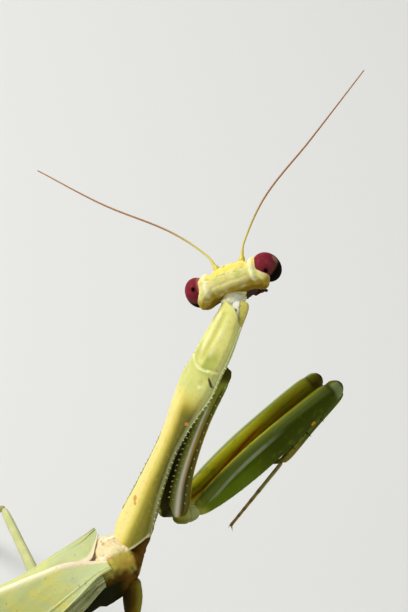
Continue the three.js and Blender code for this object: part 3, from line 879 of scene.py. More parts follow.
MOUTH = Finish(
    "mouth_brown", "#33190e", (
        Layer("#5e3c1c", 0.7, Mottle(1.8, 0.5, 0.65)),
        Layer("#1d0e06", 0.8, Mark.DARK),
    ), roughness=0.45, coat=0.05, gloss=0)

ANTENNA = Finish(
    "antenna_ochre", "#cfc04c", (
        Layer("#a4682a", 0.95, Mark.RIDGE),
        Layer("#4a2c18", 0.85, Mark.DARK),
    ), roughness=0.5, flesh=0.05, grain=0.3, wave=0.2)

NECK = Finish(
    "neck_membrane", "#e2e0ae", (
        Layer("#eef0e2", 0.85, Mark.RIM),
        Layer("#d8cc52", 0.85, Mark.RIDGE),
        Layer("#54300e", 0.85, Mark.DARK),
        Layer("#6d7268", 0.6, Mottle(3.6, 0.63, 0.7)),
    ), roughness=0.5, flesh=0.2, wave_scale=2.5, wave=1.0, depth=0.00006, gloss=0.15)

PRONOTUM = Finish(
    "pronotum_yellow", "#d8c658", (
        Layer("#d8b43e", 0.45, Mottle(0.35, 0.4, 0.66), along=Span(2, 11.5, 3.0)),
        # The cream left side and the olive right side are partly the shield's own colours and partly painted
        # light and shade: the left is lit and the right is turned from the light.
        Layer("#ecdc8c", 0.7, across=Span(0.4, 3, 0.9), along=Span(-2, 12.5, 3.0)),
        Layer("#7d7410", 0.9, across=Span(-3, -0.8, 0.75), along=Span(-2, 12.0, 2.0)),
        # Painted shade: darker olive bands low on the right side, turned from the light.
        Layer("#5d5a0c", 0.6, across=Span(-3, -1.15, 0.4), along=Span(-2, 7.0, 2.0)),
        Layer("#5d5a0c", 0.6, across=Span(-3, -0.85, 0.35), along=Span(6.5, 11.5, 1.5)),
        Layer("#c2c978", 0.75, along=Span(14.4, 15.9, 1.8)),
        Layer("#d6d47a", 0.9, along=Span(16.2, 22, 0.3)),
        Layer("#a3ab3c", 0.6, across=Span(0.6, 0.95, 0.4), along=Span(16.2, 17.0, 1.0)),
        Layer("#98a236", 0.75, across=Span(-1.1, -0.5, 0.4), along=Span(16.2, 17.0, 1.0)),
        Layer("#a9a43c", 0.45, across=Span(-0.1, 0.1, 0.25), along=Span(17.0, 20.2, 0.8)),
        Layer("#5f420e", 0.95, along=Span(-2, 2.8, 1.8), up=Span(-4, -1.62, 0.4)),
        Layer("#f0ebb4", 0.8, Mark.RIDGE),
        Layer("#b0a53a", 0.25, Mottle(3.4, 0.52, 0.72)),
        Layer("#b4ba7e", 0.85, Mark.RIM),
        Layer("#757c46", 0.75, Mark.RIM, along=Span(3.0, 9.0, 2.5)),
        Layer("#e9e2b4", 0.8, Mark.RIM, along=Span(-2, 1.6, 0.8)),
        Layer("#ece8b0", 0.55, Spot((-1.03, 14.5, 0.3), 0.08, 0.16)),
        Layer("#eaa52c", 0.95, Spot((-1.26, 11.42, -0.06), 0.15, 0.08)),
        Layer("#c98a1c", 0.9, Spot((0.5, 3.8, -0.38), 0.2, 0.08)),
        Layer("#c98a1c", 0.8, Spot((0.26, 3.48, -0.36), 0.14, 0.08)),
        Layer("#22190a", 0.97, Mark.DARK),
    ), roughness=0.38, coat=0.2, wave=0.9, depth=0.00004)

HIND = Span(-9, 0.4, 0.4)  # behind the front of the rear thorax
INSIDE = Span(-2, -0.1, 0.16)  # the inner face of a fore femur
CREST = Span(-1.3, 2, 0.3)  # the upper side of the rear thorax

THORAX = Finish(
    "thorax_olive", "#644410", (
        Layer("#4a3208", 0.7, Mottle(1.1, 0.45, 0.62)),
        Layer("#8b8c22", 0.8, along=Span(0.9, 3, 0.4), up=Span(-6, -2.0, 0.5)),
        # Painted shade: near black low on the sides behind the front, where the wings shade the thorax.
        Layer("#141c08", 0.95, up=Span(-6, -2.0, 0.8), along=Span(-9, -1.3, 1.1)),
        Layer("#b5ae4e", 0.9, across=Span(-1.9, -1.0, 0.25), along=Span(-3, 0.3, 0.4),
              up=Span(-1.5, 0.5, 0.3)),
        Layer("#e6d6a4", 0.95, across=Span(-0.85, 1.6, 0.35), along=HIND, up=CREST),
        Layer("#d9b44c", 0.7, Mottle(1.5, 0.5, 0.62), across=Span(-1.6, 0.4, 0.4), along=HIND, up=CREST),
        # Mauve patches: partly the pinkish colour of the wrinkled upper side, partly painted shade in its
        # wrinkles.
        Layer("#a8745c", 0.6, Mottle(2.4, 0.54, 0.66), across=Span(-1.4, 1.1, 0.3), along=HIND,
              up=Span(-1.2, 2, 0.3)),
        # Painted highlights: white patches on the wrinkled upper side.
        Layer("#f5eed6", 0.7, Mottle(1.6, 0.5, 0.7), across=Span(-1.0, 1.1, 0.5), along=HIND,
              up=Span(-1.0, 2, 0.3)),
        Layer("#d8982a", 0.9, Mark.RIDGE),
        Layer("#2f2708", 0.9, Mark.DARK),
    ), roughness=0.5, coat=0.06, flesh=0.1, wave=1.2, depth=0.00006, gloss=0)

HIP = Finish(
    "hip_brown", "#6b5210", (
        Layer("#4a360a", 0.7, Mottle(0.9, 0.45, 0.62)),
        Layer("#8c8c2e", 0.7, across=Span(0.62, 2, 0.5)),
        Layer("#2b2008", 0.8, across=Span(-2, -0.35, 0.6)),
        Layer("#9c8c34", 0.5, Mark.RIDGE),
        Layer("#2b1b08", 0.9, Mark.DARK),
    ), roughness=0.45, coat=0.06, wave=0.8, depth=0.00004, gloss=0)

ABDOMEN = Finish(
    "abdomen_green", "#b3b768", (
        Layer("#cfc98a", 0.6, Mottle(0.5, 0.45, 0.65)),
        Layer("#8f9640", 0.8, Mark.RIDGE),
        Layer("#e2dfb4", 0.8, Mark.RIM),
        Layer("#7d6a2c", 0.8, Mark.DARK),
        Layer("#8a9a3c", 0.4, Mottle(2.4, 0.58, 0.7)),
    ), flesh=0.15, wave=0.9, depth=0.00005)

COXA = Finish(
    "coxa_green", "#8f9438", (
        Layer("#a5aa48", 0.6, Mottle(0.8, 0.45, 0.65)),
        Layer("#6b6710", 0.85, up=Span(-2, -0.1, 0.3)),
        # Painted shade: the inner face is near black, standing for the shaded gap between the two coxae.
        Layer("#1d1a06", 0.9, across=Span(-2, -0.3, 0.2)),
        Layer("#b0842a", 0.85, across=Span(0.34, 0.5, 0.09), along=Span(6.0, 12.8, 2.5)),
        Layer("#4e4416", 0.8, across=Span(0.56, 2, 0.07), along=Span(2, 12.9, 1.0)),
        Layer("#3f3a0a", 0.9, Mark.DARK),
        Layer("#f2efd8", 1.0, Mark.RIDGE),
        Layer("#cfd3a0", 0.95, Mark.RIM),
    ), roughness=0.42, coat=0.07, gloss=0)

FEMUR = Finish(
    "femur_green", "#4c5a00", (
        Layer("#384200", 0.85, along=Span(8.5, 14.2, 3.0)),
        Layer("#62790e", 0.7, along=Span(0.5, 4.5, 2.5), up=Span(-3, 0.2, 0.5)),
        Layer("#a09c18", 0.92, across=INSIDE),
        Layer("#5c5c0c", 0.75, across=INSIDE, along=Span(11, 20, 4.0)),
        Layer("#84600f", 0.5, across=INSIDE, along=Span(7, 11, 3.0), up=Span(-0.4, 0.7, 0.5)),
        Layer("#463a0e", 0.8, across=Span(-2, -0.05, 0.16), along=Span(14.6, 20, 0.9)),
        Layer("#75803a", 0.5, across=Span(0.0, 0.45, 0.14), up=Span(0.5, 3, 0.3), along=Span(0.6, 13, 3.0)),
        # Painted highlight: a pale streak along the upper outer side of each femur.
        Layer("#a9b890", 0.6, across=Span(0.55, 0.59, 0.07), up=Span(0.5, 3, 0.3), along=Span(0.9, 6.5, 3.5)),
        Layer("#8a2c0c", 0.9, Mark.RIDGE),
        Layer("#9c9c3a", 0.8, along=Span(-2, 0.6, 0.7)),
        Layer("#5c6a14", 0.6, Mottle(1.1, 0.52, 0.7)),
        # Paler knee: partly its own grey-green, partly a painted highlight on the glossy knee.
        Layer("#84935a", 0.8, across=Span(0.2, 2, 0.2), along=Span(14.8, 20, 0.5)),
        Layer("#d88a1c", 0.95, Spot((0.72, 11.75, -0.62), 0.17, 0.08)),
        # Painted highlight along the left femur's upper outer edge (the RIM mask).
        Layer("#b4bd8e", 0.8, Mark.RIM),
        Layer("#2b1b08", 0.85, Mark.DARK),
    ), roughness=0.38, coat=0.09, wave=0.4, gloss=0)

FORE_TIBIA = Finish(
    "tibia_olive", "#4c5a06", (
        Layer("#6f6c1c", 0.6, Mottle(1.2, 0.45, 0.65)),
        Layer("#8c7a2c", 0.7, along=Span(6.0, 9, 1.0)),
        Layer("#8c8a38", 0.9, Mark.RIDGE),
        Layer("#2b1b08", 0.9, Mark.DARK),
    ), roughness=0.38, coat=0.1, gloss=0)

TARSUS = Finish(
    "tarsus_brown", "#8b8630", (
        Layer("#7a6622", 0.6, Mottle(1.6, 0.45, 0.62)),
        Layer("#96701e", 0.6, along=Span(3.6, 12, 1.0)),
        Layer("#644616", 0.8, Mark.RIDGE),
        Layer("#2a1a0a", 0.9, Mark.DARK),
    ), roughness=0.46)

LEG = Finish(
    "leg_green", "#b6ba78", (
        Layer("#cac58c", 0.6, Mottle(0.7, 0.45, 0.65)),
        Layer("#8f9750", 0.6, up=Span(-2, -0.1, 0.2)),
        Layer("#8c7a3a", 0.8, Mark.RIDGE),
        Layer("#4a3616", 0.9, Mark.DARK),
    ), roughness=0.42)

WING = Finish(
    "wing_green", "#c3c676", (
        Layer("#cfc662", 0.6, Mottle(1.1, 0.48, 0.64)),
        Layer("#b3bd84", 0.6, Mottle(0.8, 0.5, 0.66)),
        Layer("#b3bd8c", 0.6, along=Span(-4.2, 2, 1.8)),
        # Cream inner edge: partly its own pale colour, partly a painted highlight along the top of the roof.
        Layer("#efe3bf", 0.95, Mark.RIDGE),
        Layer("#e3b7a0", 0.4, Mark.RIDGE, along=Span(-4.5, 2, 1.5)),
        Layer("#6f7440", 0.5, Mottle(2.6, 0.66, 0.72)),
        Layer("#8a7440", 0.8, Mark.DARK),
    ), roughness=0.5, coat=0.03, flesh=0.2, net=0.32, wave=0.6, depth=0.00003, gloss=0.25)

HINDWING = Finish(
    "hindwing_pale", "#8a9050", (
        Layer("#3c4412", 0.9, Mark.DARK),
        Layer("#c9cc96", 0.8, Mark.RIM),
        Layer("#737c38", 0.5, Mottle(0.8, 0.5, 0.66)),
    ), roughness=0.45, coat=0.05, flesh=0.1, net=0.4, gloss=0.2)


# ---------- head ----------


@dataclass
class Eyes:
    """The two compound eyes, in the head's frame."""

    apart: float = 5.92
    ahead: float = -0.05
    up: float = -0.1
    half: Place = (0.95, 1.13, 1.42)
    lean: float = 7
    top_swell: float = 0.03
    front_swell: float = 0.02
    # Painted shade: past these levels along shade_slope each eye turns brown, then black, on its outer, rear
    # and lower side, turned from the light.
    shade_slope: Place = (-0.25, 0.7, 1)
    brown_from: tuple[float, float] = (-0.18, 0.5)
    black_from: tuple[float, float] = (-0.42, 0.24)
    pupils: tuple[Place, Place] = ((-0.04, -0.15, 0.985), (0.38, -0.58, 0.72))
    pupil_radius: float = 0.15

    def frame(self, sign: int) -> Matrix:
        """Return an eye's frame inside the head's frame."""
        middle = point(self.ahead, self.up, sign * self.apart / 2)
        return Matrix.Translation(middle) @ turn("Y", -sign * self.lean)

    def nearness(self, place: Vector) -> float:
        """Return how far a place of the head lies from the nearer eye: 1 is on its surface."""
        eye = self.frame(1 if place.x > 0 else -1).inverted() @ place
        return Vector([value / half for value, half in zip(eye, self.half)]).length

    def build(self, finisher: Finisher) -> list[Piece]:
        """Build, dress and set down both eyes."""
        built = []
        for (side, sign), pupil in zip(SIDES, map(Vector, self.pupils)):
            eye = ball(f"eye_{side}", ORIGIN, (1, 1, 1), 64, 48)

            def bulge(co: Vector) -> Vector:
                return co * Vector(self.half) * (1 + self.top_swell * co.z * co.z - self.front_swell * co.y)

            press(eye, bulge)

            # The first two masks are painted shade, brown then black, on the side turned from the light; the
            # third is the dark pupil.
            def masks(co: Vector) -> Masks:
                out, back, up = (value / half for value, half in zip(co, self.half))
                at = Vector((out * sign, -back, up)).normalized()
                level = at.dot(Vector(self.shade_slope))
                shades = (self.brown_from, self.black_from)
                brown, black = (1 - smooth((level - top) / soft) for top, soft in shades)
                return (brown, black, smooth(1.6 - (at - pupil).length / self.pupil_radius))

            mark(eye, masks)
            set_down(finisher.dress(eye, EYE), Lay.TRUNK, STANCE.head() @ self.frame(sign))
            flip_places(eye, sign)
            declare(eye, "eye_maroon", f"eye_{side}")
            built.append(eye)
        return built


def flip_places(piece: Piece, sign: int) -> None:
    """Count a piece's stored places across outwards, so that both sides share one finish.

    Args:
        piece: a piece that has been set down.
        sign: 1 where its own X already points outwards, -1 where it points inwards.
    """
    if sign < 0:
        layer = piece.data.attributes["place"]
        flat = [0.0] * (3 * len(piece.data.vertices))
        layer.data.foreach_get("vector", flat)
        flat[0::3] = [-value for value in flat[0::3]]
        layer.data.foreach_set("vector", flat)


def declare(piece: Piece, slot: str, *nodes: str) -> None:
    """Say what a finished piece rides on and stands for."""
    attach(piece, ROOT_BODY)
    if nodes:
        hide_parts(*nodes)
    log.info("%s: %d faces", piece.name, len(piece.data.polygons))


@dataclass
class Head:
    """The head capsule with its ridges, ocelli and antennal sockets."""

    eyes: Eyes
    rows: Table = (
        # height, half width, front, back, how far the temples swell back
        (-3.15, 0.85, 0.45, 0.5, 0), (-2.4, 1.15, 0.8, 0.8, 0), (-1.3, 1.8, 1.05, 1.0, 0.6),
        (-0.4, 2.55, 1.1, 1.15, 2.4), (0.2, 3.05, 1.0, 1.15, 2.6), (0.7, 3.0, 0.86, 1.06, 2.3),
        (1.08, 2.6, 0.66, 0.88, 1.5), (1.28, 2.05, 0.44, 0.62, 0.8), (1.38, 1.4, 0.2, 0.3, 0.2),
        (1.42, 0.7, 0.06, 0.1, 0),
    )
    flatness: float = 0.7
    rear_corner: float = 0.75
    socket_apart: float = 2.0
    socket_height: float = -0.1
    ridge_at: float = 1.95
    features: tuple[Feature, ...] = (
        Feature("furrow inside each ridge", -0.06, across=Bell(1.53, 0.12), up=Span(0.5, 3, 0.4)),
        Feature("furrow outside each ridge", -0.06, across=Bell(2.35, 0.14), up=Span(0.5, 3, 0.4)),
        Feature("middle line of the crown", -0.04, Bell(0, 0.1), Span(-3, 0.2, 0.4), Span(0.8, 3, 0.4)),
        Feature("line across the crown", -0.05, Span(-1, 1.6, 0.3), Bell(-0.62, 0.13), Span(0.6, 3, 0.4)),
    )
    crest: Feature = Feature("uneven crest", 0.1, Span(-1, 1.9, 0.2), Span(0.1, 3, 0.3), Span(0.2, 3, 0.3))
    face: tuple[Feature, ...] = (
        Feature("boss between the ocelli", 0.12, across=Bell(0, 0.6), up=Bell(0.5, 0.4)),
        Feature("furrow beside the forehead", -0.16, across=Bell(1.55, 0.25), up=Span(0.1, 2, 0.3)),
        Feature("ridge beside each eye", 0.1, across=Bell(2.15, 0.2), up=Span(0.1, 2, 0.3)),
        Feature("upper edge of the clypeus", -0.07, across=Span(-1, 1.5, 0.3), up=Bell(-1.15, 0.09)),
        Feature("lower edge of the clypeus", -0.06, up=Bell(-2.3, 0.07)),
    )
    socket: tuple[Feature, ...] = (
        # across is here the distance from the middle of the socket
        Feature("rim of each feeler's socket", 0.14, across=Bell(0.42, 0.12)),
        Feature("pit of each feeler's socket", -0.16, across=Bell(0, 0.28)),
    )
    ocelli: tuple[Place, ...] = ((0.97, 0.42, 0), (0.88, 0.72, 0.38), (0.88, 0.72, -0.38))
    ocellus_half: Place = (0.14, 0.12, 0.15)
    crown_lean: float = 0.2

    def surface(self, u: float, angle: float) -> Vector:
        """Return the capsule's surface at a part of its height and an angle around it."""
        low, high = self.rows[0][0], self.rows[-1][0]
        up = mix(low, high, (1 - math.cos(math.pi * u)) / 2)
        width, front, back, temple = along(self.rows, up)
        across, ahead = math.cos(angle), math.sin(angle)
        reach = front if ahead > 0 else back + temple * across ** 4
        corner = 1 if ahead > 0 else self.rear_corner
        return point(reach * math.copysign(abs(ahead) ** self.flatness, ahead), up,
                     width * math.copysign(abs(across) ** corner, across))

    def ridge(self, place: Vector) -> float:
        """Return how much a place belongs to the two pale ridges beside the eyes."""
        return hump(abs(place.x) - self.ridge_at, 0.15) * between(place.z, 0.5, 3, 0.5)

    def rim(self, place: Vector) -> float:
        """Return how much a place belongs to the raised rims round the eyes."""
        return hump(self.eyes.nearness(place) - 1.07, 0.07)

    def relief(self, place: Vector) -> float:
        """Return the height of ridges, rims, sockets and bumps over the capsule."""
        across, ahead, up = abs(place.x), -place.y, place.z
        height = 0.11 * self.ridge(place) + 0.08 * self.rim(place) + raised(self.features, across, ahead, up)
        height += self.crest.at(across, ahead, up) * noise.noise(place * 3.4)
        if ahead > 0:
            apart = math.hypot(across - self.socket_apart / 2, up - self.socket_height)
            height += raised(self.face, across, ahead, up) + raised(self.socket, apart, ahead)
        return height + rough(place, (0.035, 2.1), (0.018, 6.5))

    def leaned(self, place: Vector) -> Vector:
        """Return a place with the crown leaning a little to the animal's right."""
        return place - point(0, 0, self.crown_lean * smooth((place.z + 0.1) / 0.9))

    def build(self, finisher: Finisher) -> None:
        """Build, dress and set down the capsule."""
        capsule = loft("head_capsule", 72, 96, self.surface)
        mark(capsule, lambda co: (self.rim(co), self.ridge(co), between(co.z, -4, -2.85, 0.25)))
        emboss(capsule, self.relief)
        press(capsule, self.leaned)
        finisher.dress(capsule, HEAD)
        lenses = []
        for place in self.ocelli:
            lens = ball("ocellus", self.leaned(point(*place)), self.ocellus_half, 16, 12)
            lenses.append(finisher.dress(lens, HEAD))
        head = weld("head_capsule", [capsule, *lenses])
        set_down(head, Lay.TRUNK, STANCE.head())
        declare(head, "head_cream", "head")


def through(points: Sequence[Vector], u: float) -> Vector:
    """Return the place a part u of the way along a smooth path through points."""
    steps = [0.0]
    for a, b in zip(points, points[1:]):
        steps.append(steps[-1] + (b - a).length)
    rows = [[step, *place] for step, place in zip(steps, points)]
    return Vector(along(rows, u * steps[-1]))


@dataclass
class Antennae:
    """The two feelers: a thick scape and pedicel, then a whip of short beads."""

    base: Place = (1.0, -0.1, 1.0)
    bend: Place = (2.55, -0.05, 1.6)
    routes: tuple[tuple[Place, ...], ...] = (
        # on the left, on the right
        ((5.5, 0.1, 4.15), (9.6, 0.35, 9.1), (14.3, 0.6, 13.9)),
        ((5.45, 0.1, 4.2), (8.5, -0.1, 8.55), (12.55, -0.5, 13.95)),
    )
    beads: int = 100
    whip_start: float = 0.055
    scape_swell: float = 0.05
    bead_swell: float = 0.16
    taper: Table = (
        (0, 0.24), (0.01, 0.28), (0.024, 0.24), (0.034, 0.15), (0.048, 0.13), (0.062, 0.095), (0.12, 0.078),
        (0.6, 0.068), (1, 0.045),
    )

    def build(self, finisher: Finisher) -> None:
        """Build, dress and set down both feelers."""
        for (side, sign), route in zip(SIDES, self.routes):
            path = [point(ahead, up, sign * out) for ahead, up, out in (self.base, self.bend, *route)]
            whip = loft(f"antenna_{side}", 4 * self.beads, 8, self.surface(path), self.masks)
            set_down(finisher.dress(whip, ANTENNA), Lay.TRUNK, STANCE.head())
            declare(whip, "antenna_ochre", f"antenna_{side}")

    def surface(self, path: Sequence[Vector]) -> Sweep:
        """Return the feeler's surface round a path."""
        def beaded(u: float, angle: float) -> Vector:
            center = through(path, u)
            heading = (through(path, min(u + 0.01, 1)) - through(path, max(u - 0.01, 0))).normalized()
            upwards = (Z_AXIS - heading * heading.z).normalized()
            aside = upwards.cross(heading)
            bulge = self.bead_swell if u > self.whip_start else self.scape_swell
            swell = 1 + bulge * math.sin(math.pi * ((u * self.beads) % 1)) - self.bead_swell / 2
            radius = along(self.taper, u)[0] * swell
            return center + radius * (upwards * math.sin(angle) + aside * math.cos(angle))
        return beaded

    def masks(self, u: float, angle: float) -> Masks:
        """Return the masks of the whip: it turns ochre outwards, with a dark ring at each joint."""
        joint = 1 if (u * self.beads + 0.01) % 1 < 0.2 else 0
        return (0, smooth((u - 0.07) / 0.3), joint * smooth((u - 0.1) / 0.3))


@dataclass
class Mouth:
    """Labrum, mandibles and palps below the head."""

    top: float = -3.1
    labrum_length: float = 1.0
    labrum_ahead: float = 0.3
    jaw_length: float = 0.95
    jaw_at: tuple[float, float] = (0.36, 0.02)
    jaw_splay: float = 8
    palps: Table = (
        # distance aside, tilt out of the vertical, length, distance behind
        (0.55, 22, 1.35, 0.35), (0.3, 35, 1.05, 0.5),
    )
    palp_turn: float = 50
    labrum: Table = ((0, 0.7, 0.16, 0), (0.4, 0.74, 0.2, 0), (0.85, 0.5, 0.16, 0), (1, 0.2, 0.08, 0))
    mandible: Table = (
        (0, 0.44, 0.42, 0), (0.5, 0.46, 0.48, 0.03), (0.85, 0.26, 0.3, 0.08), (1, 0.08, 0.1, 0.1),
    )
    palp: Table = (
        (0, 0.1, 0.1, 0), (0.2, 0.15, 0.15, 0.02), (0.25, 0.11, 0.11, 0.03), (0.5, 0.15, 0.15, 0.1),
        (0.55, 0.11, 0.11, 0.1), (0.9, 0.14, 0.14, 0.02), (1, 0.05, 0.05, 0),
    )

    def build(self, finisher: Finisher) -> None:
        """Build, dress and set down the mouthparts."""
        down = turn("X", 180)
        parts = [grow_limb("labrum", self.labrum, self.labrum_length, 12)]
        parts[0].data.transform(Matrix.Translation((0, -self.labrum_ahead, self.top)) @ down)
        jaw_side, jaw_behind = self.jaw_at
        for _, sign in SIDES:
            jaw = grow_limb("mandible", self.mandible, self.jaw_length, 10)
            mark(jaw, lambda co: (0, 0, smooth((co.z - 0.6) / 0.3)))
            splayed = turn("Y", self.jaw_splay * sign) @ down
            jaw.data.transform(Matrix.Translation((jaw_side * sign, jaw_behind, self.top)) @ splayed)
            parts.append(jaw)
            for aside, tilt, length, behind in self.palps:
                palp = grow_limb("palp", self.palp, length, 8)
                lean = turn("Z", sign * self.palp_turn) @ turn("X", 180 - tilt)
                palp.data.transform(Matrix.Translation((aside * sign, behind, self.top - 0.15)) @ lean)
                parts.append(palp)
        for part in parts:
            finisher.dress(part, MOUTH)
        mouth = weld("mouthparts_skin", parts)
        set_down(mouth, Lay.TRUNK, STANCE.head())
        declare(mouth, "mouth_brown", "mouthparts")


@dataclass
class Neck:
    """The folded membrane between prothorax and head, with a plate low on each side."""

    rows: Table = ((0, 0.85, 0.9, -0.1), (0.5, 0.86, 1.0, -0.25), (1, 0.8, 0.85, -0.15))
    length: float = 4.0
    start: Place = (18.9, -0.62, 0)
    nape: Place = (0, 0.5, -0.25)
    folds: float = 7.0
    fold_depth: float = 0.045
    plate_ends: tuple[tuple[Place, Place], ...] = (
        # on the left, on the right
        ((21.3, -0.55, 0.75), (19.5, -0.9, 1.2)), ((21.76, -0.5, -0.08), (19.3, -0.8, -1.2)),
    )
    plate: Table = (
        (0, 0.5, 0.12, 0), (0.12, 0.66, 0.18, 0.04), (0.4, 0.52, 0.18, 0.06), (0.75, 0.24, 0.14, 0.03),
        (1, 0.05, 0.05, 0),
    )
    plate_length: float = 2.75

    def surface(self, u: float, angle: float) -> Vector:
        """Return the membrane's surface, folded across on its upper side."""
        width, depth, bow = along(self.rows, u)
        fold = 1 + self.fold_depth * math.sin(2 * math.pi * (self.folds * u + 0.15 * math.sin(2 * angle)))
        return Vector((width * fold * math.cos(angle), bow + depth * fold * math.sin(angle), u * self.length))

    def masks(self, u: float, angle: float) -> Masks:
        """Return the masks: pale folds, and a green-yellow underside."""
        side = math.sin(angle)
        return (between(side, -0.4, 0.6, 0.3) * between(u, 0.35, 0.7, 0.1), between(side, -2, -0.45, 0.3), 0)

    def plate_masks(self, sign: int) -> Marks:
        """Return the masks of a plate: white inside with a brown dot, the rest yellow, dark outlines."""
        def masks(place: Vector) -> Masks:
            width = along(self.plate, place.z / self.plate_length)[0]
            inner = place.x * sign / width
            white = smooth((inner - 0.1) / 0.12)
            edge = 0.7 * smooth((abs(inner) - 0.84) / 0.14) + 0.6 * hump(inner - 0.12, 0.06)
            dot = smooth(1.6 - math.hypot(place.x * sign - 0.34, (place.z - 0.75) * 0.8) / 0.1)
            return (white, 1 - white, max(edge, dot))
        return masks

    def build(self, finisher: Finisher) -> Piece:
        """Build, dress and set down the neck.

        Returns:
            The neck's skin, to be joined with the trunk's.
        """
        nape = STANCE.head_in_prothorax() @ Vector(self.nape)
        membrane = loft("neck_membrane", 70, 48, self.surface, self.masks)
        place = STANCE.prothorax() @ aim(point(*self.start), nape, Z_AXIS)
        set_down(finisher.dress(membrane, NECK), Lay.LIMB, place)
        plates = []
        for (_, sign), (top, tip) in zip(SIDES, self.plate_ends):
            plate = grow_limb("neck_plate", sampled(self.plate, 8), self.plate_length, 12)
            mark(plate, self.plate_masks(sign))
            finisher.dress(plate, NECK)
            place = aim(point(*top), point(*tip), point(0.26, 0.68, sign * 0.68))
            set_down(plate, Lay.LIMB, STANCE.prothorax() @ place)
            plates.append(plate)
        return weld("neck_membrane", [membrane, *plates])


# ---------- prothorax ----------


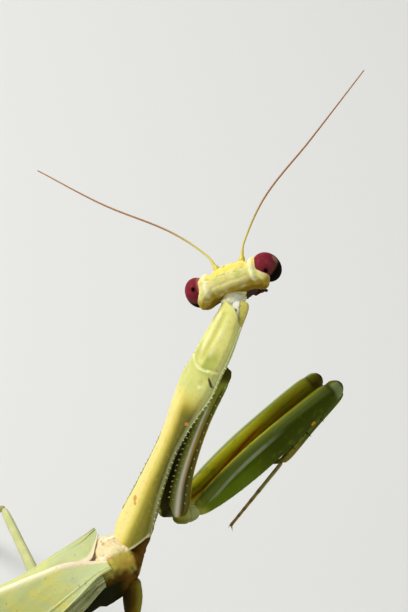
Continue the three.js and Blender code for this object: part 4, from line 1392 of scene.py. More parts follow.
@dataclass
class Pronotum:
    """The long shield over the prothorax, with its flat toothed margin."""

    rows: Table = (
        # distance ahead of the base, half width, height of the margin, dome over it, belly below it
        (-0.3, 2.2, -1.5, 0.85, 1.4), (2.3, 2.0, -1.2, 0.7, 1.4), (4.65, 1.56, -0.85, 0.58, 1.1),
        (8.4, 1.18, -0.5, 0.49, 0.85), (10.55, 1.3, -0.43, 0.64, 0.9), (12.3, 1.6, -0.38, 0.85, 1.05),
        (14.25, 1.98, -0.42, 0.9, 1.2), (15.9, 1.84, -0.45, 0.86, 1.25), (17.6, 1.78, -0.47, 0.86, 1.2),
        (19.05, 1.64, -0.45, 0.78, 1.0), (20.3, 1.44, -0.42, 0.82, 0.75), (21.2, 1.25, -0.4, 0.8, 0.6),
    )
    rear: float = -0.7
    rear_sweep: float = 2.9
    belly_sweep: float = 2.1
    front: float = 21.25
    front_sweep: float = 1.35
    sulcus: float = 15.9
    bow: float = 0.55
    belly_width: float = 0.84
    belly_rise: tuple[float, float] = (1.3, 2.6)
    margin: float = 0.93
    margin_thickness: float = 0.12
    lip: float = 0.03
    margin_features: tuple[Feature, ...] = (
        # across is here the part of the half width, and ahead is counted from the bowed sulcus
        Feature("sulcus", -0.1, Span(-1, 0.86, 0.1), Bell(0, 0.1)),
        Feature("swelling behind the sulcus", 0.05, Span(-1, 0.86, 0.1), Bell(-0.25, 0.16)),
        Feature("raised rim of the margin", 0.07, across=Bell(0.97, 0.03)),
        Feature("gutter inside the rim", -0.05, across=Bell(0.87, 0.05)),
    )
    rear_lip: Feature = Feature("thick rear edge, ahead of it", 0.09, ahead=Bell(0.16, 0.1))
    middle_features: tuple[Feature, ...] = (
        Feature("keel", 0.035, Bell(0, 0.07), Span(1, 14.5, 1.0)),
        Feature("front furrow", -0.04, Bell(0, 0.1), Span(16.6, 20.3, 0.5)),
        Feature("small boss on the right", 0.08, Bell(-1.03, 0.14), Bell(14.5, 0.14)),
    )
    paired_features: tuple[Feature, ...] = (
        Feature("pit beside the sulcus", -0.09, Bell(0.8, 0.3), Bell(16.5, 0.5)),
        Feature("front swelling", 0.06, Bell(0.48, 0.22), Bell(18.6, 1.3)),
        Feature("rear pit", -0.07, Bell(1.04, 0.22), Bell(14.9, 0.45)),
    )
    teeth: tuple[float, float, float] = (3.0, 17.6, 0.42)  # the first, the last and the step
    tooth: tuple[float, float] = (0.2, 0.075)
    slit: tuple[tuple[float, float], tuple[float, float]] = ((-1.36, 15.5), (-1.72, 15.05))

    def surface(self, u: float, angle: float) -> Vector:
        """Return the shield and belly at a part of the length and an angle around them."""
        across, up = math.cos(angle), math.sin(angle)
        inside = max(self.lip - u, u - 1 + self.lip, 0) / self.lip
        u = min(max((u - self.lip) / (1 - 2 * self.lip), 0), 1)
        aside = 1 if up < 0 else across * across
        sweep = self.rear_sweep * aside if up > 0 else mix(self.rear_sweep, self.belly_sweep, min(-2 * up, 1))
        s = mix(self.rear + sweep, self.front - self.front_sweep * aside * aside, u)
        width, keel, dome, belly = along(self.rows, s)
        s += 0.9 * smooth(inside * 1.5 - 0.5) * (1 if u < 0.5 else -1)
        shrink = 1 - 0.12 * smooth(inside * 1.6)
        if up < -1e-6:
            first, reach = self.belly_rise
            belly *= mix(0.5, 1, smooth((s - first) / reach))
            return point(s, keel + belly * up * shrink, width * self.belly_width * across * shrink)
        v = abs(across)
        rounded = math.sqrt(max(0.0, 1 - (v / self.margin) ** 2))
        flat = self.margin_thickness * math.sqrt(1 - v)
        height = (rounded ** 4 + flat ** 4) ** 0.25
        return point(s, keel + dome * height * shrink, width * across * shrink)

    def across_part(self, place: Vector) -> float:
        """Return how far out a place lies, as a part of the half width there."""
        return abs(place.x) / along(self.rows, -place.y)[0]

    def is_upper(self, place: Vector) -> float:
        """Return 1 on the shield and 0 on the belly."""
        return smooth((place.z - along(self.rows, -place.y)[1] + 0.06) / 0.06)

    def relief(self, place: Vector) -> float:
        """Return the height of grooves, ridges and bumps over the shield."""
        s, across = -place.y, place.x
        v = self.across_part(place)
        height = raised(self.margin_features, v, s - self.sulcus - self.bow * v * v)
        height += self.rear_lip.at(0, s - self.rear - self.rear_sweep * v * v, 0)
        height += raised(self.middle_features, across, s)
        height += raised(self.paired_features, across, s) + raised(self.paired_features, -across, s)
        return (height + rough(place, (0.03, 1.3), (0.012, 6.0))) * self.is_upper(place)

    def masks(self, place: Vector) -> Masks:
        """Return the masks: the pale margin and rear edge, the front ridges and the slit."""
        s, across = -place.y, place.x
        v = self.across_part(place)
        above = self.is_upper(place)
        rear_edge = self.rear + self.rear_sweep * v * v
        flange = smooth((v - 0.87) / 0.06) * mix(0.35, 1, smooth((s - 3) / 3))
        rim = max(flange, 0.8 - 0.8 * smooth((s - rear_edge - 0.08) / 0.2)) * above
        ridge = hump(abs(across) - 0.5, 0.2) * between(s, 17.4, 20, 0.8) * above
        ridge *= 0.6 + 0.8 * noise.noise(place * 1.1)
        line = hump(s - self.bow * v * v - self.sulcus + 0.08, 0.07) * between(v, -1, 0.84, 0.08) * above
        ridge = max(ridge, 0.8 * line * mix(1, 0.35, smooth(0.5 - across / 2)))
        (x0, s0), (x1, s1) = self.slit
        step = Vector((x1 - x0, s1 - s0))
        start = Vector((across - x0, s - s0))
        t = min(max(start.dot(step) / step.length_squared, 0), 1)
        dark = smooth(1.5 - (start - step * t).length / 0.075)
        return (rim, ridge, dark * above)

    def toothed_margin(self) -> list[Piece]:
        """Return the small teeth along both margins."""
        rng = random.Random(7)
        first, last, step = self.teeth
        places = []
        for _, sign in SIDES:
            for i in range(int((last - first) / step)):
                s = first + step * (i + rng.uniform(-0.12, 0.12))
                width, keel = along(self.rows, s)[:2]
                out = aim(point(s, keel + 0.01, sign * (width - 0.03)),
                          point(s + 0.16, keel - 0.04, sign * (width + 1)), Z_AXIS)
                places.append(out @ Matrix.Scale(rng.uniform(0.75, 1.15), 4))
        tooth = thorn(*self.tooth)
        mark(tooth, lambda co: (1, 0, 0))
        return copies(tooth, places)

    def build(self, finisher: Finisher) -> None:
        """Build, dress and set down the shield."""
        shield = loft("pronotum_shield", 200, 88, self.surface)
        mark(shield, self.masks)
        emboss(shield, self.relief)
        pieces = [shield, *self.toothed_margin()]
        for piece in pieces:
            finisher.dress(piece, PRONOTUM)
        whole = weld("pronotum_shield", pieces)
        set_down(whole, Lay.TRUNK, STANCE.prothorax())
        declare(whole, "pronotum_yellow", "prothorax")


# ---------- forelegs ----------


@dataclass(frozen=True)
class ForelegPlan:
    """Where one foreleg's joints lie: distance ahead of the prothorax's base, height over its axis."""

    coxa_foot: tuple[float, float]
    femur_base: tuple[float, float]
    femur_knee: tuple[float, float]
    tibia_knee: tuple[float, float]
    tibia_tip: tuple[float, float]
    tarsus_tip: tuple[float, float]
    coxa_top: tuple[float, float] = (16.6, -1.5)


@dataclass(frozen=True)
class ToothRow:
    """A row of teeth along the coxa, at an angle round it."""

    degrees: float
    count: int
    size: float
    stand: float


@dataclass(frozen=True)
class SpineRow:
    """A row of spines under the femur.

    Its first and its step are parts of the length, and out is a part of the half width.
    """

    outer: bool
    first: float
    step: float
    count: int
    out: float
    lean: float
    size: float


@dataclass
class Foreleg:
    """A folded raptorial leg: coxa, trochanter, spiny femur and tibia, and a thin tarsus."""

    side: str
    sign: int
    plan: ForelegPlan
    apart: float = 1.96
    coxa_spread: float = 1.08
    tarsus_spread: float = 1.25
    elbow: tuple[Place, Place] = ((0.05, 0.3, 0), (0.1, -0.25, 0))
    coxa_edges: tuple[Feature, ...] = (
        # across is here the angle round the coxa, in degrees
        Feature("upper edge", 0.24, across=Bell(112, 18)),
        Feature("outer edge", 0.1, across=Bell(10, 14)),
        Feature("lower edge", 0.07, across=Bell(-100, 20)),
        Feature("hollow face", -0.05, across=Bell(60, 18)),
    )
    coxa_teeth: tuple[ToothRow, ...] = (
        ToothRow(104, 22, 0.17, 0.2), ToothRow(82, 18, 0.11, 0.06), ToothRow(12, 14, 0.15, 0.06),
    )
    coxa_tooth: tuple[float, float] = (0.17, 0.06)
    trochanter_groove: float = 0.55
    femur_ridge: Feature = Feature("outer ridge, by part of the half depth", 0.05, up=Bell(0.93, 0.07))
    femur_groove: Feature = Feature("groove below the ridge", -0.05, up=Bell(0.62, 0.1))
    femur_features: tuple[Feature, ...] = (
        Feature("low groove", -0.04, up=Bell(-0.35, 0.06)),
        Feature("bed of the spines", -0.2, up=Bell(-1, 0.18)),
    )
    knee: tuple[Feature, ...] = (
        # ahead is here the part of the length
        Feature("swelling of the knee", 0.06, ahead=Bell(0.955, 0.02)),
        Feature("groove before the knee", -0.05, ahead=Bell(0.925, 0.012)),
    )
    spine_rows: tuple[SpineRow, ...] = (
        SpineRow(True, 0.5, 0.1, 4, 0.62, 0.14, 0.6), SpineRow(False, 0.2, 0.055, 12, 0.5, 0.05, 0.42),
        SpineRow(False, 0.26, 0.06, 4, 0.12, 0.0, 0.7),
    )
    tibia_rows: tuple[tuple[int, int], ...] = ((1, 9), (-1, 11))
    tarsus_joints: tuple[float, ...] = (0.45, 0.6, 0.73, 0.83, 0.97)
    coxa: Table = (
        (0, 0.42, 0.42, 0), (0.06, 0.55, 0.56, 0.05), (0.35, 0.54, 0.55, 0.7), (0.7, 0.6, 0.66, 0.75),
        (0.94, 0.7, 0.84, 0.12), (1, 0.5, 0.6, 0),
    )
    trochanter: Table = (
        (-0.1, 0.4, 0.45, 0), (0.3, 0.62, 0.74, 0), (0.75, 0.62, 0.72, 0), (1.1, 0.45, 0.55, 0),
    )
    femur: Table = (
        (0, 0.42, 0.55, -0.1), (0.05, 0.55, 0.9, -0.15), (0.2, 0.74, 1.38, -0.15),
        (0.42, 0.83, 1.62, -0.12), (0.7, 0.8, 1.42, -0.04), (0.9, 0.74, 1.1, 0.03),
        (0.97, 0.66, 0.92, 0.02), (1, 0.4, 0.55, 0),
    )
    tibia: Table = (
        (0, 0.3, 0.32, 0), (0.08, 0.42, 0.46, 0), (0.5, 0.36, 0.4, 0.06), (0.92, 0.32, 0.36, 0),
        (1, 0.2, 0.22, 0),
    )
    tarsus: Table = (
        (0, 0.12, 0.12, 0), (0.04, 0.17, 0.18, 0), (0.4, 0.13, 0.14, 0), (0.45, 0.18, 0.18, 0),
        (0.48, 0.12, 0.12, 0), (0.6, 0.16, 0.17, 0), (0.63, 0.11, 0.12, 0), (0.73, 0.15, 0.16, 0),
        (0.76, 0.11, 0.11, 0), (0.83, 0.15, 0.15, 0), (0.86, 0.1, 0.1, 0), (0.97, 0.15, 0.15, 0),
        (1, 0.08, 0.08, 0),
    )

    def at(self, spot: tuple[float, float], spread: float = 1.0) -> Vector:
        """Return a joint's place in the prothorax's frame."""
        return point(spot[0], spot[1], self.sign * self.apart * spread / 2)

    def build(self, finisher: Finisher) -> None:
        """Build, dress and join the whole leg."""
        plan = self.plan
        top, foot = self.at(plan.coxa_top, self.coxa_spread), self.at(plan.coxa_foot)
        base, tip = self.at(plan.femur_base), self.at(plan.tibia_tip)
        elbow = [end + point(*step) for end, step in zip((foot, base), self.elbow)]
        toe = self.at(plan.tarsus_tip, self.tarsus_spread)
        pieces = [
            self.segment(self.build_coxa, top, foot, COXA, -self.sign, finisher),
            self.segment(self.build_trochanter, *elbow, COXA, self.sign, finisher),
            self.segment(self.build_femur, base, self.at(plan.femur_knee), FEMUR, self.sign, finisher),
            self.segment(self.build_tibia, self.at(plan.tibia_knee), tip, FORE_TIBIA, -self.sign, finisher),
            self.segment(self.build_tarsus, tip, toe, TARSUS, -self.sign, finisher),
        ]
        leg = weld(f"foreleg_{self.side}", pieces)
        parts = ("coxa", "trochanter", "femur", "tibia", "tarsus")
        declare(leg, "femur_green", *(f"foreleg_{self.side}_{part}" for part in parts))

    def segment(self, build: Callable[[float, int], Piece], start: Vector, end: Vector,
                finish: Finish, outward: int, finisher: Finisher) -> Piece:
        """Build one segment between two joints.

        Args:
            build: makes the segment along Z from its length and its outer side.
            start: where it begins, in the prothorax's frame.
            end: where it ends.
            finish: what it looks like.
            outward: 1 where its own X points outwards, otherwise -1.
            finisher: makes its material.

        Returns:
            The segment, set down.
        """
        piece = build((end - start).length, outward)
        set_down(finisher.dress(piece, finish), Lay.LIMB, STANCE.prothorax() @ aim(start, end, Z_AXIS))
        flip_places(piece, outward)
        return piece

    def build_coxa(self, length: float, outward: int) -> Piece:
        """Return the coxa, three-edged, with a row of teeth along its upper and outer edges."""
        coxa = grow_limb("coxa", sampled(self.coxa, 10), length, 12, 3)

        def direction(co: Vector) -> float:
            bow = along(self.coxa, co.z / length)[2]
            return math.degrees(math.atan2(co.y - bow, co.x * outward))

        def relief(co: Vector) -> float:
            t = co.z / length
            edges = between(t, 0.08, 0.9, 0.06) * raised(self.coxa_edges, direction(co), 0)
            return edges + rough(co, (0.012, 4), (0.09 * between(t, -1, 0.07, 0.06), 5))

        def masks(co: Vector) -> Masks:
            phi, t = direction(co), co.z / length
            stripe = hump(phi - 57, mix(11, 17, smooth(t * 2 - 0.8))) * between(t, 0.3, 0.93, 0.12)
            edge = max(hump(phi - 112, 20) * between(t, 0.08, 0.9, 0.1),
                       0.8 * hump(phi - 20, 9) * between(t, 0.6, 0.95, 0.15), between(t, -1, 0.05, 0.05))
            return (0, stripe, edge)

        mark(coxa, masks)
        emboss(coxa, relief)
        teeth = []
        for row in self.coxa_teeth:
            across, up = math.cos(math.radians(row.degrees)), math.sin(math.radians(row.degrees))
            for i in range(row.count):
                t = mix(0.1, 0.86, i / (row.count - 1))
                width, depth, bow = along(self.coxa, t)
                out, rise = (width + row.stand) * across, (depth + row.stand) * up
                foot = Vector((outward * out, bow + rise, t * length))
                place = aim(foot, foot + Vector((outward * across, up, 0.25)), Z_AXIS)
                teeth.append(place @ Matrix.Scale(row.size / self.coxa_tooth[0], 4))
        tooth = thorn(*self.coxa_tooth)
        mark(tooth, lambda co: (1, 0, 0))
        return weld("coxa", [coxa, *copies(tooth, teeth)])

    def build_trochanter(self, length: float, outward: int) -> Piece:
        """Return the small knob between coxa and femur."""
        knob = grow_limb("trochanter", sampled(self.trochanter, 5), length, 12, 3)
        groove = length * self.trochanter_groove
        emboss(knob, lambda co: rough(co, (0.02, 3)) - 0.05 * hump(co.z - groove, 0.1))
        mark(knob, lambda co: (0.4 * smooth(co.z / length), 0, 0.1 + 0.5 * hump(co.z - groove, 0.08)))
        return knob

    def build_femur(self, length: float, outward: int) -> Piece:
        """Return the femur, deep and flat-sided, with its rows of spines underneath."""
        femur = grow_limb("femur", sampled(self.femur, 12), length, 14, 3)

        def relief(co: Vector) -> float:
            t, outer = co.z / length, co.x * outward > 0
            depth, bow = along(self.femur, t)[1:]
            up = (co.y - bow) / depth
            height = self.femur_ridge.at(0, t, up) if outer else 0
            height += self.femur_groove.at(0, t, up) * (1 if outer else 0.4)
            height += raised(self.femur_features, 0, t, up)
            return height * between(t, 0.1, 0.86, 0.08) + raised(self.knee, 0, t) + rough(co, (0.01, 3))

        emboss(femur, relief)

        def red_line(co: Vector) -> Masks:
            t = co.z / length
            height = mix(0.2, 1.05, smooth((t - 0.02) / 0.6))
            inner = smooth(-co.x * outward / 0.2)
            # Painted highlight: a pale line along the upper outer edge of the left femur, where the light
            # catches it.
            pale = hump(co.x * outward - 0.3, 0.16) * smooth((co.y - 0.6) / 0.4) if self.side == "left" else 0
            groove = 0.8 * hump(t - 0.925, 0.009) * smooth(co.y / 0.5) + between(t, 0.988, 2, 0.015)
            return (pale, inner * hump(co.y - height, 0.13) * between(t, 0.06, 0.5, 0.14), groove)

        mark(femur, red_line)
        places = [place for row in self.spine_rows for place in self.spine_places(row, length, outward)]
        return weld("femur", [femur, *copies(thorn(1.0, 0.16, 0.12, 8), places)])

    def spine_places(self, row: SpineRow, length: float, outward: int) -> list[Matrix]:
        """Return the places of one row of femoral spines, long and short by turns."""
        side = outward if row.outer else -outward
        places = []
        for i in range(row.count):
            t = row.first + row.step * i
            width, depth, bow = along(self.femur, t)
            foot = Vector((side * width * row.out, bow - depth * 0.78, t * length))
            tip = foot + Vector((side * row.lean, -0.75, 0.25))
            places.append(aim(foot, tip, -Z_AXIS) @ Matrix.Scale(row.size * (0.75 if i % 2 else 1.0), 4))
        return places

    def build_tibia(self, length: float, outward: int) -> Piece:
        """Return the tibia, with two rows of spines and the hooked claw at its end."""
        tibia = grow_limb("tibia", sampled(self.tibia, 10), length, 12, 2)
        mark(tibia, lambda co: (0, hump(co.y - 0.3, 0.1), 0))
        emboss(tibia, lambda co: 0.03 * hump(abs(co.x) - 0.2, 0.07) - 0.02 * hump(co.x, 0.08))
        places = []
        for side, count in self.tibia_rows:
            for i in range(count):
                t = mix(0.16, 0.9, i / (count - 1))
                foot = Vector((side * 0.2, 0.24, t * length))
                tip = foot + Vector((side * 0.12, 0.5, 0.3))
                places.append(aim(foot, tip, Z_AXIS) @ Matrix.Scale(mix(0.34, 0.62, t), 4))
        claw_foot = Vector((0, 0, length * 0.93))
        claw = thorn(1.25, 0.27, 0.4, 10)
        claw.data.transform(aim(claw_foot, claw_foot + Vector((0, 0.28, 1)), Y_AXIS))
        return weld("tibia", [tibia, claw, *copies(thorn(1.0, 0.15, 0.2), places)])

    def build_tarsus(self, length: float, outward: int) -> Piece:
        """Return the five-jointed tarsus with its two claws."""
        tarsus = grow_limb("tarsus", self.tarsus, length, 10, 2)
        joints = self.tarsus_joints
        mark(tarsus, lambda co: (0, max(hump(co.z / length - joint, 0.025) for joint in joints), 0))
        end = length * 0.97
        claws = pair((0.04, 0, end), (0.35, -0.1, end + 0.5), -Y_AXIS)
        return weld("tarsus", [tarsus, *copies(thorn(0.48, 0.07, 0.45), claws)])


# ---------- rear trunk ----------


@dataclass
class Trunk:
    """The rear thorax and the abdomen, one skin with the neck."""

    thorax: Table = (
        # distance behind the waist, half width, top, bottom, forward lean of the section
        (-1.6, 1.0, -0.35, -2.2, 0.25), (-0.8, 1.7, -0.4, -3.3, 0.32), (0.3, 2.1, -0.05, -4.1, 0.3),
        (1.4, 2.2, 0.05, -4.4, 0.2), (2.4, 2.2, -0.5, -4.5, 0.12), (4.0, 2.2, -1.7, -4.75, 0),
        (6.0, 2.35, -2.0, -5.0, 0), (8.05, 2.35, -2.1, -5.0, 0), (8.6, 2.2, -2.2, -4.9, 0),
    )
    abdomen: Table = (
        # part of the length, half width, half height, height of the middle
        (0, 2.3, 1.4, -3.6), (0.12, 2.75, 1.8, -3.9), (0.3, 3.0, 2.1, -4.0), (0.5, 3.1, 2.2, -3.93),
        (0.7, 2.8, 2.0, -3.85), (0.87, 2.1, 1.5, -3.7), (0.96, 1.4, 1.0, -3.55), (1, 0.8, 0.6, -3.45),
    )
    joint: Table = (
        # part of the length, half width, height over the middle, depth below it
        (0, 1.15, 0.5, 0.65), (0.35, 1.5, 0.6, 1.05), (0.6, 1.62, 0.68, 1.25), (1, 1.7, 1.1, 1.5),
    )
    joint_start: Place = (3.4, -1.5, 0)
    joint_end: Place = (-0.1, -2.2, 0)
    joint_folds: float = 6.0
    fold_depth: float = 0.03
    thorax_square: float = 0.62
    upper: Span = Span(-1.2, 3, 0.4)
    upper_features: tuple[Feature, ...] = (
        Feature("plate on each side", 0.12, Bell(0.55, 0.35), Bell(-0.5, 0.5)),
        Feature("middle furrow", -0.12, Bell(0, 0.1), Span(-2.2, 1, 0.3)),
        Feature("furrow across", -0.1, ahead=Bell(-1.5, 0.12)),
    )
    thorax_features: tuple[Feature, ...] = (
        Feature("wing hinge", 0.16, Bell(1.35, 0.3), Bell(-0.75, 0.35), Bell(-0.75, 0.6)),
        Feature("rear furrow across", -0.09, ahead=Bell(-4, 0.14)),
        Feature("side ridge", 0.07, up=Bell(-2.7, 0.12)),
    )
    oblique: Feature = Feature("oblique side furrow", -0.1, ahead=Bell(-0.1, 0.12), up=Span(-4, -1.2, 0.3))
    oblique_slope: float = 0.25
    abdomen_start: float = 8.15
    abdomen_length: float = 29.5
    tergites: int = 9
    cercus_length: float = 3.4
    cercus: Table = (
        (0, 0.22, 0.2, 0), (0.15, 0.34, 0.3, 0), (0.3, 0.28, 0.26, 0), (0.45, 0.34, 0.3, 0),
        (0.6, 0.25, 0.22, 0), (0.7, 0.27, 0.24, 0), (0.85, 0.18, 0.16, 0), (1, 0.06, 0.06, 0),
    )

    def thorax_surface(self, u: float, angle: float) -> Vector:
        """Return the rear thorax's surface."""
        behind = mix(self.thorax[0][0], self.thorax[-1][0], u)
        width, top, bottom, lean = along(self.thorax, behind)
        middle, half = (top + bottom) / 2, (top - bottom) / 2
        square = mix(1, self.thorax_square, between(behind, -0.9, 2.2, 0.8))
        across, rise = math.cos(angle), math.sin(angle)
        up = half * math.copysign(abs(rise) ** square, rise)
        narrowing = 1 - 0.12 * max(rise, 0) ** 2
        return point(lean * up - behind, middle + up,
                     width * narrowing * math.copysign(abs(across) ** square, across))

    def joint_surface(self, u: float, angle: float) -> Vector:
        """Return the folded membrane that joins the prothorax to the rear thorax."""
        start = STANCE.body().inverted() @ STANCE.prothorax() @ Matrix.Translation(point(*self.joint_start))
        end = Matrix.Translation(point(*self.joint_end))
        facing = start.to_quaternion().slerp(end.to_quaternion(), u)
        width, over, below = along(self.joint, u)
        rise = math.sin(angle)
        fold = 1 + self.fold_depth * math.sin(2 * math.pi * self.joint_folds * u)
        section = Vector((width * fold * math.cos(angle), 0, (over if rise > 0 else below) * fold * rise))
        return start.translation.lerp(end.translation, u) + facing @ section

    def thorax_relief(self, place: Vector) -> float:
        """Return the height of plates, furrows and wing hinges over the rear thorax."""
        side, ahead, up = abs(place.x), -place.y, place.z
        upper = self.upper.at(up)
        height = raised(self.upper_features, side, ahead, up) * upper
        height += raised(self.thorax_features, side, ahead, up)
        height += self.oblique.at(side, ahead + self.oblique_slope * up, up)
        return height + rough(place, (0.07 * (0.3 + upper), 2.3), (0.035 * upper, 5))

    def thorax_masks(self, place: Vector) -> Masks:
        """Return the masks: a front edge that the finish does not paint, orange wing hinges and dark furrows.
        """
        behind, side, up = place.y, abs(place.x), place.z
        hinge = hump(behind - 0.3, 0.6) * hump(side - 1.5, 0.4) * hump(up + 0.9, 0.5)
        oblique = hump(behind - 0.1 - self.oblique_slope * up, 0.1) * between(up, -4, -1.2, 0.3)
        furrow = max(oblique, hump(behind - 4, 0.12))
        return (0.7 * hump(behind + 0.5, 0.35) * between(up, -2.4, 3, 0.5), min(1.2 * hinge, 1), 0.8 * furrow)

    def abdomen_surface(self, u: float, angle: float) -> Vector:
        """Return the abdomen's surface: overlapping rings, folded in along each side."""
        width, height, middle = along(self.abdomen, u)
        within = (u * self.tergites) % 1
        flare = 0.955 + 0.04 * smooth(within * 1.15) - 0.045 * smooth((within - 0.93) / 0.07)
        side = 1 - 0.05 * hump(math.sin(angle) + 0.25, 0.1)
        up = height * flare * side * math.sin(angle) * (0.85 if math.sin(angle) < 0 else 1)
        return point(-(self.abdomen_start + u * self.abdomen_length), middle + up,
                     width * flare * side * math.cos(angle))

    def abdomen_masks(self, u: float, angle: float) -> Masks:
        """Return the masks: pale hind edges of the rings, side folds and breathing holes."""
        within = (u * self.tergites) % 1
        fold = hump(math.sin(angle) + 0.25, 0.12)
        hole = hump(within - 0.35, 0.05) * hump(math.sin(angle) + 0.05, 0.06)
        return (hump(within - 0.9, 0.06), 0.8 * fold, hole + 0.35 * hump(within - 0.98, 0.03))

    def build(self, neck: Piece, finisher: Finisher) -> None:
        """Build, dress and join the rear thorax, abdomen, cerci and neck."""
        thorax = loft("thorax", 96, 72, self.thorax_surface)
        mark(thorax, self.thorax_masks)
        emboss(thorax, self.thorax_relief)
        finisher.dress(thorax, THORAX)
        joint = loft("waist_membrane", 60, 48, self.joint_surface)
        emboss(joint, lambda co: rough(co, (0.04, 2.5)))
        finisher.dress(joint, THORAX)
        abdomen = loft("abdomen", 200, 56, self.abdomen_surface, self.abdomen_masks)
        emboss(abdomen, lambda co: rough(co, (0.04, 1.2), (0.015, 4)))
        finisher.dress(abdomen, ABDOMEN)
        pieces = [thorax, joint, abdomen]
        end = self.abdomen_start + self.abdomen_length
        for piece in pieces:
            set_down(piece, Lay.TRUNK, STANCE.body())
        for _, sign in SIDES:
            tail = grow_limb("cercus", self.cercus, self.cercus_length, 12)
            finisher.dress(tail, ABDOMEN)
            place = aim(point(0.9 - end, -3.5, sign * 1.35), point(-end - 2.2, -3.7, sign * 1.9), Z_AXIS)
            pieces.append(set_down(tail, Lay.LIMB, STANCE.body() @ place))
        skin = weld("trunk_skin", [*pieces, neck])
        declare(skin, "thorax_olive", "neck", "mesothorax", "metathorax", "cercus_left", "cercus_right",
                *(f"abdomen_{k}" for k in range(1, 7)))


# ---------- wings ----------


@dataclass
class Wings:
    """The roof of folded wings: two leathery tegmina over two pleated hindwings."""

    root: float = 1.0
    length: float = 43.6
    spacing: float = 0.62
    arch: float = 1.35
    rows: Table = (
        # part of the length, ridge, half width, drop at the side, inner edge, how far the hindwing hangs
        (0, -0.3, 2.4, -0.5, 1.75, 0.3), (0.036, -0.25, 2.35, -0.05, 0.5, 0.9),
        (0.08, -0.1, 2.7, 0.9, -0.3, 1.4), (0.127, -0.05, 3.0, 1.8, -0.5, 1.5),
        (0.195, 0, 3.6, 2.8, -0.6, 1.1), (0.285, 0.2, 4.2, 3.3, -0.6, 0.3),
        (0.44, 0.45, 4.6, 3.5, -0.6, 0), (0.67, 0.3, 4.4, 3.3, -0.6, 0), (0.896, -0.2, 3.2, 2.3, -0.45, 0),
        (1, -0.7, 1.4, 0.8, -0.1, 0),
    )
    left_inner: Table = (
        (0, 1.7), (0.01, 1.1), (0.034, -0.3), (0.06, -0.42), (0.2, -0.4), (0.9, -0.3), (1, -0.06),
    )
    tip_sweep: float = 0.045
    skin: float = 0.13
    vein_at: float = 0.83
    fan_start: float = 0.75
    pleats: int = 9
    pleat_depth: float = 0.3
    pleat_swing: float = 0.16

    def roof(self, t: float, left: float, sign: int, deep: float) -> Vector:
        """Return a place on the roof, or some depth below it.

        Args:
            t: part of the wing's length.
            left: distance from the middle.
            sign: 1 for the left wing, -1 for the right.
            deep: depth below the roof.
        """
        ridge, width, drop = along(self.rows, t)[:3]
        v = abs(left) / width
        slope = Vector((drop * self.arch * v ** (self.arch - 1), width)).normalized()
        height = ridge - drop * v ** self.arch - slope.y * deep
        side = left - math.copysign(1, left) * slope.x * deep
        return point(-self.root - t * self.length, height, sign * side)

    def tucked(self, t: float, left: float) -> float:
        """Return how deep the under wing's inner part lies below the upper wing."""
        return self.spacing * (1 - smooth((abs(left) - 0.3) / 1.7)) * smooth((t - 0.04) / 0.035)

    def sheet(self, name: str, across: int, steps: int, shape: Sweep
              ) -> Piece:
        """Press a grid onto a wing and give it a thickness.

        Args:
            name: the wing's name.
            across: spans from its inner edge to its side edge.
            steps: spans along it.
            shape: gives the place for a part of the length and a part of the width.

        Returns:
            The closed wing.
        """
        deselect()
        bpy.ops.mesh.primitive_grid_add(x_subdivisions=across, y_subdivisions=steps, size=1,
                                        location=(0, 0, 0))
        wing = bpy.context.object
        wing.name = name
        mark(wing, lambda co: (co.x + 0.5, self.edge(co.x + 0.5), 0))
        press(wing, lambda co: shape(co.y + 0.5, co.x + 0.5))
        if sum(polygon.normal.z for polygon in wing.data.polygons) < 0:
            edit_all(wing)
            bpy.ops.mesh.flip_normals()
        take(wing)
        wall = wing.modifiers.new("Wall", "SOLIDIFY")
        wall.thickness = self.skin
        wall.offset = -1
        bpy.ops.object.modifier_apply(modifier=wall.name)
        return wing

    def edge(self, v: float) -> float:
        """Return how much a part of the width belongs to the thick inner edge."""
        return 1 - smooth((v - 0.06) / 0.2)

    def build(self, finisher: Finisher) -> None:
        """Build, dress and set down the four wings."""
        for side, sign in SIDES:
            under = side == "left"

            def tegmen(u: float, v: float) -> Vector:
                tip = 1 - self.tip_sweep * (abs(v - 0.3) / 0.7) ** 2.2
                t = mix(0.012, tip, u) if sign < 0 else mix(0, tip - 0.005, u)
                width, _, inner = along(self.rows, t)[1:4]
                if under:
                    inner = along(self.left_inner, t)[0]
                left = mix(inner, width, v)
                deep = self.tucked(t, left) * 0.75 if under else 0
                wrinkle = 0.02 * noise.noise(Vector((t * 30, v * 8, sign)))
                vein = 0.07 * hump(v - self.vein_at, 0.02)
                ridge = 0.08 * self.edge(v) + vein + 0.05 * smooth((v - 0.97) / 0.02)
                return self.roof(t, left, sign, deep - ridge - wrinkle)

            wing = self.sheet(f"tegmen_{side}", 70, 240, tegmen)
            set_down(finisher.dress(wing, WING), Lay.TRUNK, STANCE.body())
            declare(wing, "wing_green", f"tegmen_{side}")
            self.build_hindwing(side, sign, finisher)

    def build_hindwing(self, side: str, sign: int, finisher: Finisher) -> None:
        """Build, dress and set down one pleated hindwing."""
        def fan(u: float, v: float) -> Vector:
            t = mix(0.03, 0.93, u)
            width, _, inner, hang = along(self.rows, t)[1:5]
            left = mix(max(inner, 0) + 0.9, width * 0.96, min(v / self.fan_start, 1))
            deep = self.spacing * 0.6 + self.tucked(t, left) * 0.8
            turns = 2 * math.pi * self.pleats * v
            pleat = self.pleat_depth * (0.5 + 0.5 * math.cos(turns)) * (1 if v < self.fan_start else 0.5)
            below = max(v - self.fan_start, 0) / (1 - self.fan_start) * hang
            swing = 0.12 * below + (self.pleat_swing * math.sin(turns) if v > 0.7 else 0)
            return self.roof(t, left, sign, deep + pleat) + point(0, -below, sign * swing)

        wing = self.sheet(f"hindwing_{side}", 108, 150, fan)
        set_down(finisher.dress(wing, HINDWING), Lay.TRUNK, STANCE.body())
        declare(wing, "hindwing_pale", f"hindwing_{side}")


# ---------- walking legs ----------


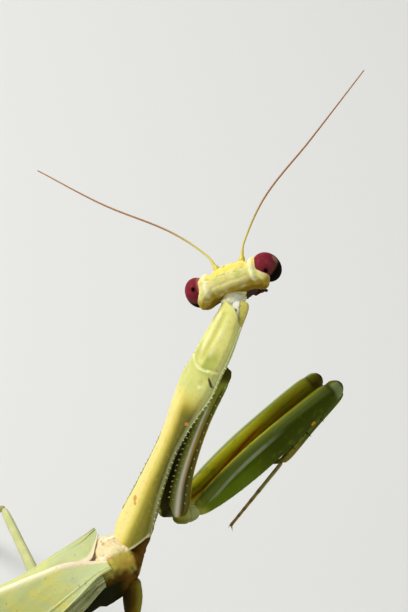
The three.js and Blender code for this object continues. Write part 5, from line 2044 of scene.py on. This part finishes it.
@dataclass
class WalkingLeg:
    """A long thin leg from its hip to a foot that lies flat on the floor."""

    name: str
    sign: int
    hip: Place
    hip_end: Place
    knee: Place
    shin: float
    shin_heading: float
    tarsus: float
    tarsus_heading: float
    ankle_height: float = 0.98
    coxa_rows: Table = ((0, 0.6, 0.65, 0), (0.4, 0.78, 0.82, 0), (0.85, 0.55, 0.6, 0), (1.04, 0.35, 0.4, 0))
    thigh_rows: Table = (
        (0, 0.35, 0.38, 0), (0.1, 0.55, 0.62, 0), (0.5, 0.42, 0.48, 0), (0.93, 0.36, 0.42, 0),
        (0.98, 0.42, 0.46, 0), (1, 0.28, 0.3, 0),
    )
    shin_rows: Table = (
        (-0.02, 0.26, 0.28, 0), (0.03, 0.37, 0.39, 0), (0.1, 0.28, 0.29, 0), (0.5, 0.25, 0.26, 0),
        (0.95, 0.27, 0.28, 0), (1, 0.17, 0.17, 0),
    )
    foot_rows: Table = (
        (0, 0.16, 0.16, 0.9), (0.03, 0.2, 0.2, 0.75), (0.12, 0.19, 0.19, 0.34), (0.36, 0.19, 0.19, 0.22),
        (0.4, 0.27, 0.22, 0.22), (0.43, 0.16, 0.16, 0.24), (0.56, 0.27, 0.22, 0.22), (0.59, 0.16, 0.16, 0.24),
        (0.7, 0.26, 0.21, 0.21), (0.73, 0.15, 0.15, 0.24), (0.81, 0.26, 0.2, 0.2), (0.84, 0.13, 0.14, 0.26),
        (0.97, 0.2, 0.19, 0.26), (1, 0.1, 0.1, 0.26))
    foot_joints: tuple[float, ...] = (0.4, 0.56, 0.7, 0.81, 0.97)

    def heading(self, degrees: float) -> Vector:
        """Return a level direction, some degrees round from straight ahead to the leg's side."""
        angle = math.radians(degrees)
        return Vector((self.sign * math.sin(angle), -math.cos(angle), 0))

    def build(self, finisher: Finisher) -> None:
        """Build, dress and join the whole leg."""
        hip, hip_end, knee = (STANCE.body() @ point(*spot) for spot in (self.hip, self.hip_end, self.knee))
        reach = math.sqrt(self.shin ** 2 - (knee.z - self.ankle_height) ** 2)
        ankle = knee + self.heading(self.shin_heading) * reach
        ankle.z = self.ankle_height
        floor = Vector((ankle.x, ankle.y, 0))
        tip = floor + self.heading(self.tarsus_heading) * self.tarsus
        pieces = [
            self.segment("coxa", self.coxa_rows, hip, hip_end, HIP, finisher),
            self.segment("femur", self.thigh_rows, hip_end, knee, LEG, finisher),
            self.segment("tibia", self.shin_rows, knee, ankle, LEG, finisher),
            self.segment("tarsus", self.foot_rows, floor, tip, TARSUS, finisher),
        ]
        leg = weld(self.name, pieces)
        parts = ("coxa", "femur", "tibia", "tarsus")
        declare(leg, "leg_green", *(f"{self.name}_{part}" for part in parts))

    def segment(self, kind: str, rows: Table, start: Vector, end: Vector, finish: Finish,
                finisher: Finisher) -> Piece:
        """Build one segment between two joints.

        Args:
            kind: which segment it is.
            rows: its section along its length.
            start: where it begins, in the world.
            end: where it ends.
            finish: what it looks like.
            finisher: makes its material.

        Returns:
            The segment, set down.
        """
        length = (end - start).length
        limb = grow_limb(kind, rows if kind == "tarsus" else sampled(rows, 9), length, 10, 2)
        joints = self.foot_joints if kind == "tarsus" else (0.0, 1.0)
        mark(limb, lambda co: (0, max(hump(co.z / length - joint, 0.03) for joint in joints), 0))
        emboss(limb, lambda co: rough(co, (0.012, 2.5)))
        extras = []
        if kind == "tibia":
            heel = length * 0.96
            extras = copies(thorn(0.7, 0.09, 0.1), pair((0.15, -0.1, heel), (0.5, -0.5, heel + 0.8), -Y_AXIS))
        if kind == "tarsus":
            toe = length * 0.98
            extras = copies(thorn(0.6, 0.09, 0.3), pair((0.05, 0.28, toe), (0.5, 0.2, toe + 0.5), -Y_AXIS))
            pad = ball("pad", Vector((0, 0.17, length * 0.99)), (0.12, 0.16, 0.18), 12, 8)
            mark(pad, lambda co: (0, 1, 0))
            extras.append(pad)
        whole = weld(kind, [limb, *extras])
        finisher.dress(whole, finish)
        return set_down(whole, Lay.LIMB, aim(start, end, Z_AXIS))


# ---------- studio ----------


@dataclass(frozen=True)
class Lamp:
    """A soft square light: its direction seen from the camera, distance, side and power in watts."""

    name: str
    right: float
    up: float
    back: float
    away: float
    size: float
    power: float


@dataclass
class Studio:
    """A plain pale floor, soft light and the camera."""

    azimuth: float = 246.7
    elevation: float = 35.0
    distance: float = 0.231
    lens: float = 175.3
    sensor: float = 36.0
    aim_right: float = 6.67
    aim_up: float = 18.37
    floor_size: float = 3.0
    floor_color: str = "#d3d3cf"
    floor_roughness: float = 0.85
    lights: tuple[Lamp, ...] = (
        Lamp("Key", -0.95, 1.0, 0.6, 0.45, 0.2, 2.3),
        Lamp("Fill", 1.0, 0.1, 0.9, 0.5, 0.4, 0.25),
        Lamp("Rim", -0.3, 0.9, -0.8, 0.5, 0.3, 0.5),
    )
    sky_color: str = "#f2f4f7"
    ambient: float = 0.36

    def axes(self) -> tuple[Vector, Vector, Vector]:
        """Return the camera's right, up and back directions in the world."""
        azimuth, elevation = math.radians(self.azimuth), math.radians(self.elevation)
        right = Vector((math.cos(azimuth), math.sin(azimuth), 0))
        back = Vector((math.sin(azimuth) * math.cos(elevation), -math.cos(azimuth) * math.cos(elevation),
                       math.sin(elevation)))
        return right, back.cross(right), back

    def build(self) -> None:
        """Set up floor, light and camera."""
        right, up, back = self.axes()
        target = (Vector(STANCE.waist) + right * self.aim_right + up * self.aim_up) * METRE
        self.lay_floor()
        self.light_world()
        for lamp in self.lights:
            self.hang(lamp, target, (back * lamp.back + right * lamp.right + up * lamp.up).normalized())
        data = bpy.data.cameras.new("Camera")
        data.lens = self.lens
        data.sensor_width = self.sensor
        data.clip_start = 0.01
        camera = bpy.data.objects.new("Camera", data)
        bpy.context.collection.objects.link(camera)
        camera.matrix_world = (Matrix.Translation(target + back * self.distance)
                               @ Matrix((right, up, back)).transposed().to_4x4())
        bpy.context.scene.camera = camera

    def lay_floor(self) -> None:
        """Lay the floor at the animal's feet."""
        deselect()
        bpy.ops.mesh.primitive_plane_add(size=self.floor_size, location=(0, 0, 0))
        floor = bpy.context.object
        floor.name = "floor"
        material = bpy.data.materials.new("floor_pale")
        material.use_nodes = True
        shader = material.node_tree.nodes["Principled BSDF"]
        shader.inputs["Base Color"].default_value = linear(self.floor_color)
        shader.inputs["Roughness"].default_value = self.floor_roughness
        floor.data.materials.append(material)

    def light_world(self) -> None:
        """Fill the room with even light."""
        world = bpy.data.worlds.new("Studio")
        bpy.context.scene.world = world
        world.use_nodes = True
        background = world.node_tree.nodes["Background"]
        background.inputs["Color"].default_value = linear(self.sky_color)
        background.inputs["Strength"].default_value = self.ambient

    def hang(self, lamp: Lamp, target: Vector, direction: Vector) -> None:
        """Hang a lamp in some direction from the animal, so that it shines at it."""
        data = bpy.data.lights.new(lamp.name, "AREA")
        data.size = lamp.size
        data.energy = lamp.power
        light = bpy.data.objects.new(lamp.name, data)
        bpy.context.collection.objects.link(light)
        light.location = target + direction * lamp.away
        light.rotation_euler = direction.to_track_quat("Z", "Y").to_euler()


# ---------- the whole animal ----------

FORELEGS = (
    Foreleg("left", 1, ForelegPlan((2.75, -4.4), (3.5, -5.6), (16.65, -13.5), (16.05, -13.86), (9.2, -11.7),
                                   (4.3, -7.7))),
    Foreleg("right", -1, ForelegPlan((3.35, -4.15), (4.05, -5.4), (17.15, -13.9), (16.5, -14.25),
                                     (9.5, -11.87), (3.4, -9.62))),
)

WALKING_LEGS = (
    WalkingLeg("midleg_left", 1, (-2.4, -3.3, 1.4), (-6.0, -5.9, 1.9), (-4.95, -6.9, 16.6),
               13.5, 96, 7.6, 130),
    WalkingLeg("midleg_right", -1, (0.1, -2.6, -1.6), (-1.0, -6.1, -2.6), (2.2, -5.4, -17.1),
               13.5, 80, 7.6, 40),
    WalkingLeg("hindleg_left", 1, (-6.2, -3.4, 1.4), (-9.0, -6.0, 3.0), (-19.8, 0.2, 15.9),
               19.5, 146, 10, 152),
    WalkingLeg("hindleg_right", -1, (-6.2, -3.4, -1.4), (-9.0, -6.0, -3.0), (-19.4, 0.4, -16.1),
               19.5, 142, 10, 156),
)


def main() -> None:
    """Build the animal piece by piece, then the studio round it."""
    logging.basicConfig(level=logging.INFO, format="%(name)s: %(message)s")
    finisher = Finisher()
    eyes = Eyes()
    Head(eyes).build(finisher)
    eyes.build(finisher)
    Antennae().build(finisher)
    Mouth().build(finisher)
    Pronotum().build(finisher)
    for foreleg in FORELEGS:
        foreleg.build(finisher)
    Trunk().build(Neck().build(finisher), finisher)
    Wings().build(finisher)
    for leg in WALKING_LEGS:
        leg.build(finisher)
    Studio().build()
    bpy.context.scene.view_settings.view_transform = "Standard"


if __name__ == "__main__":
    main()
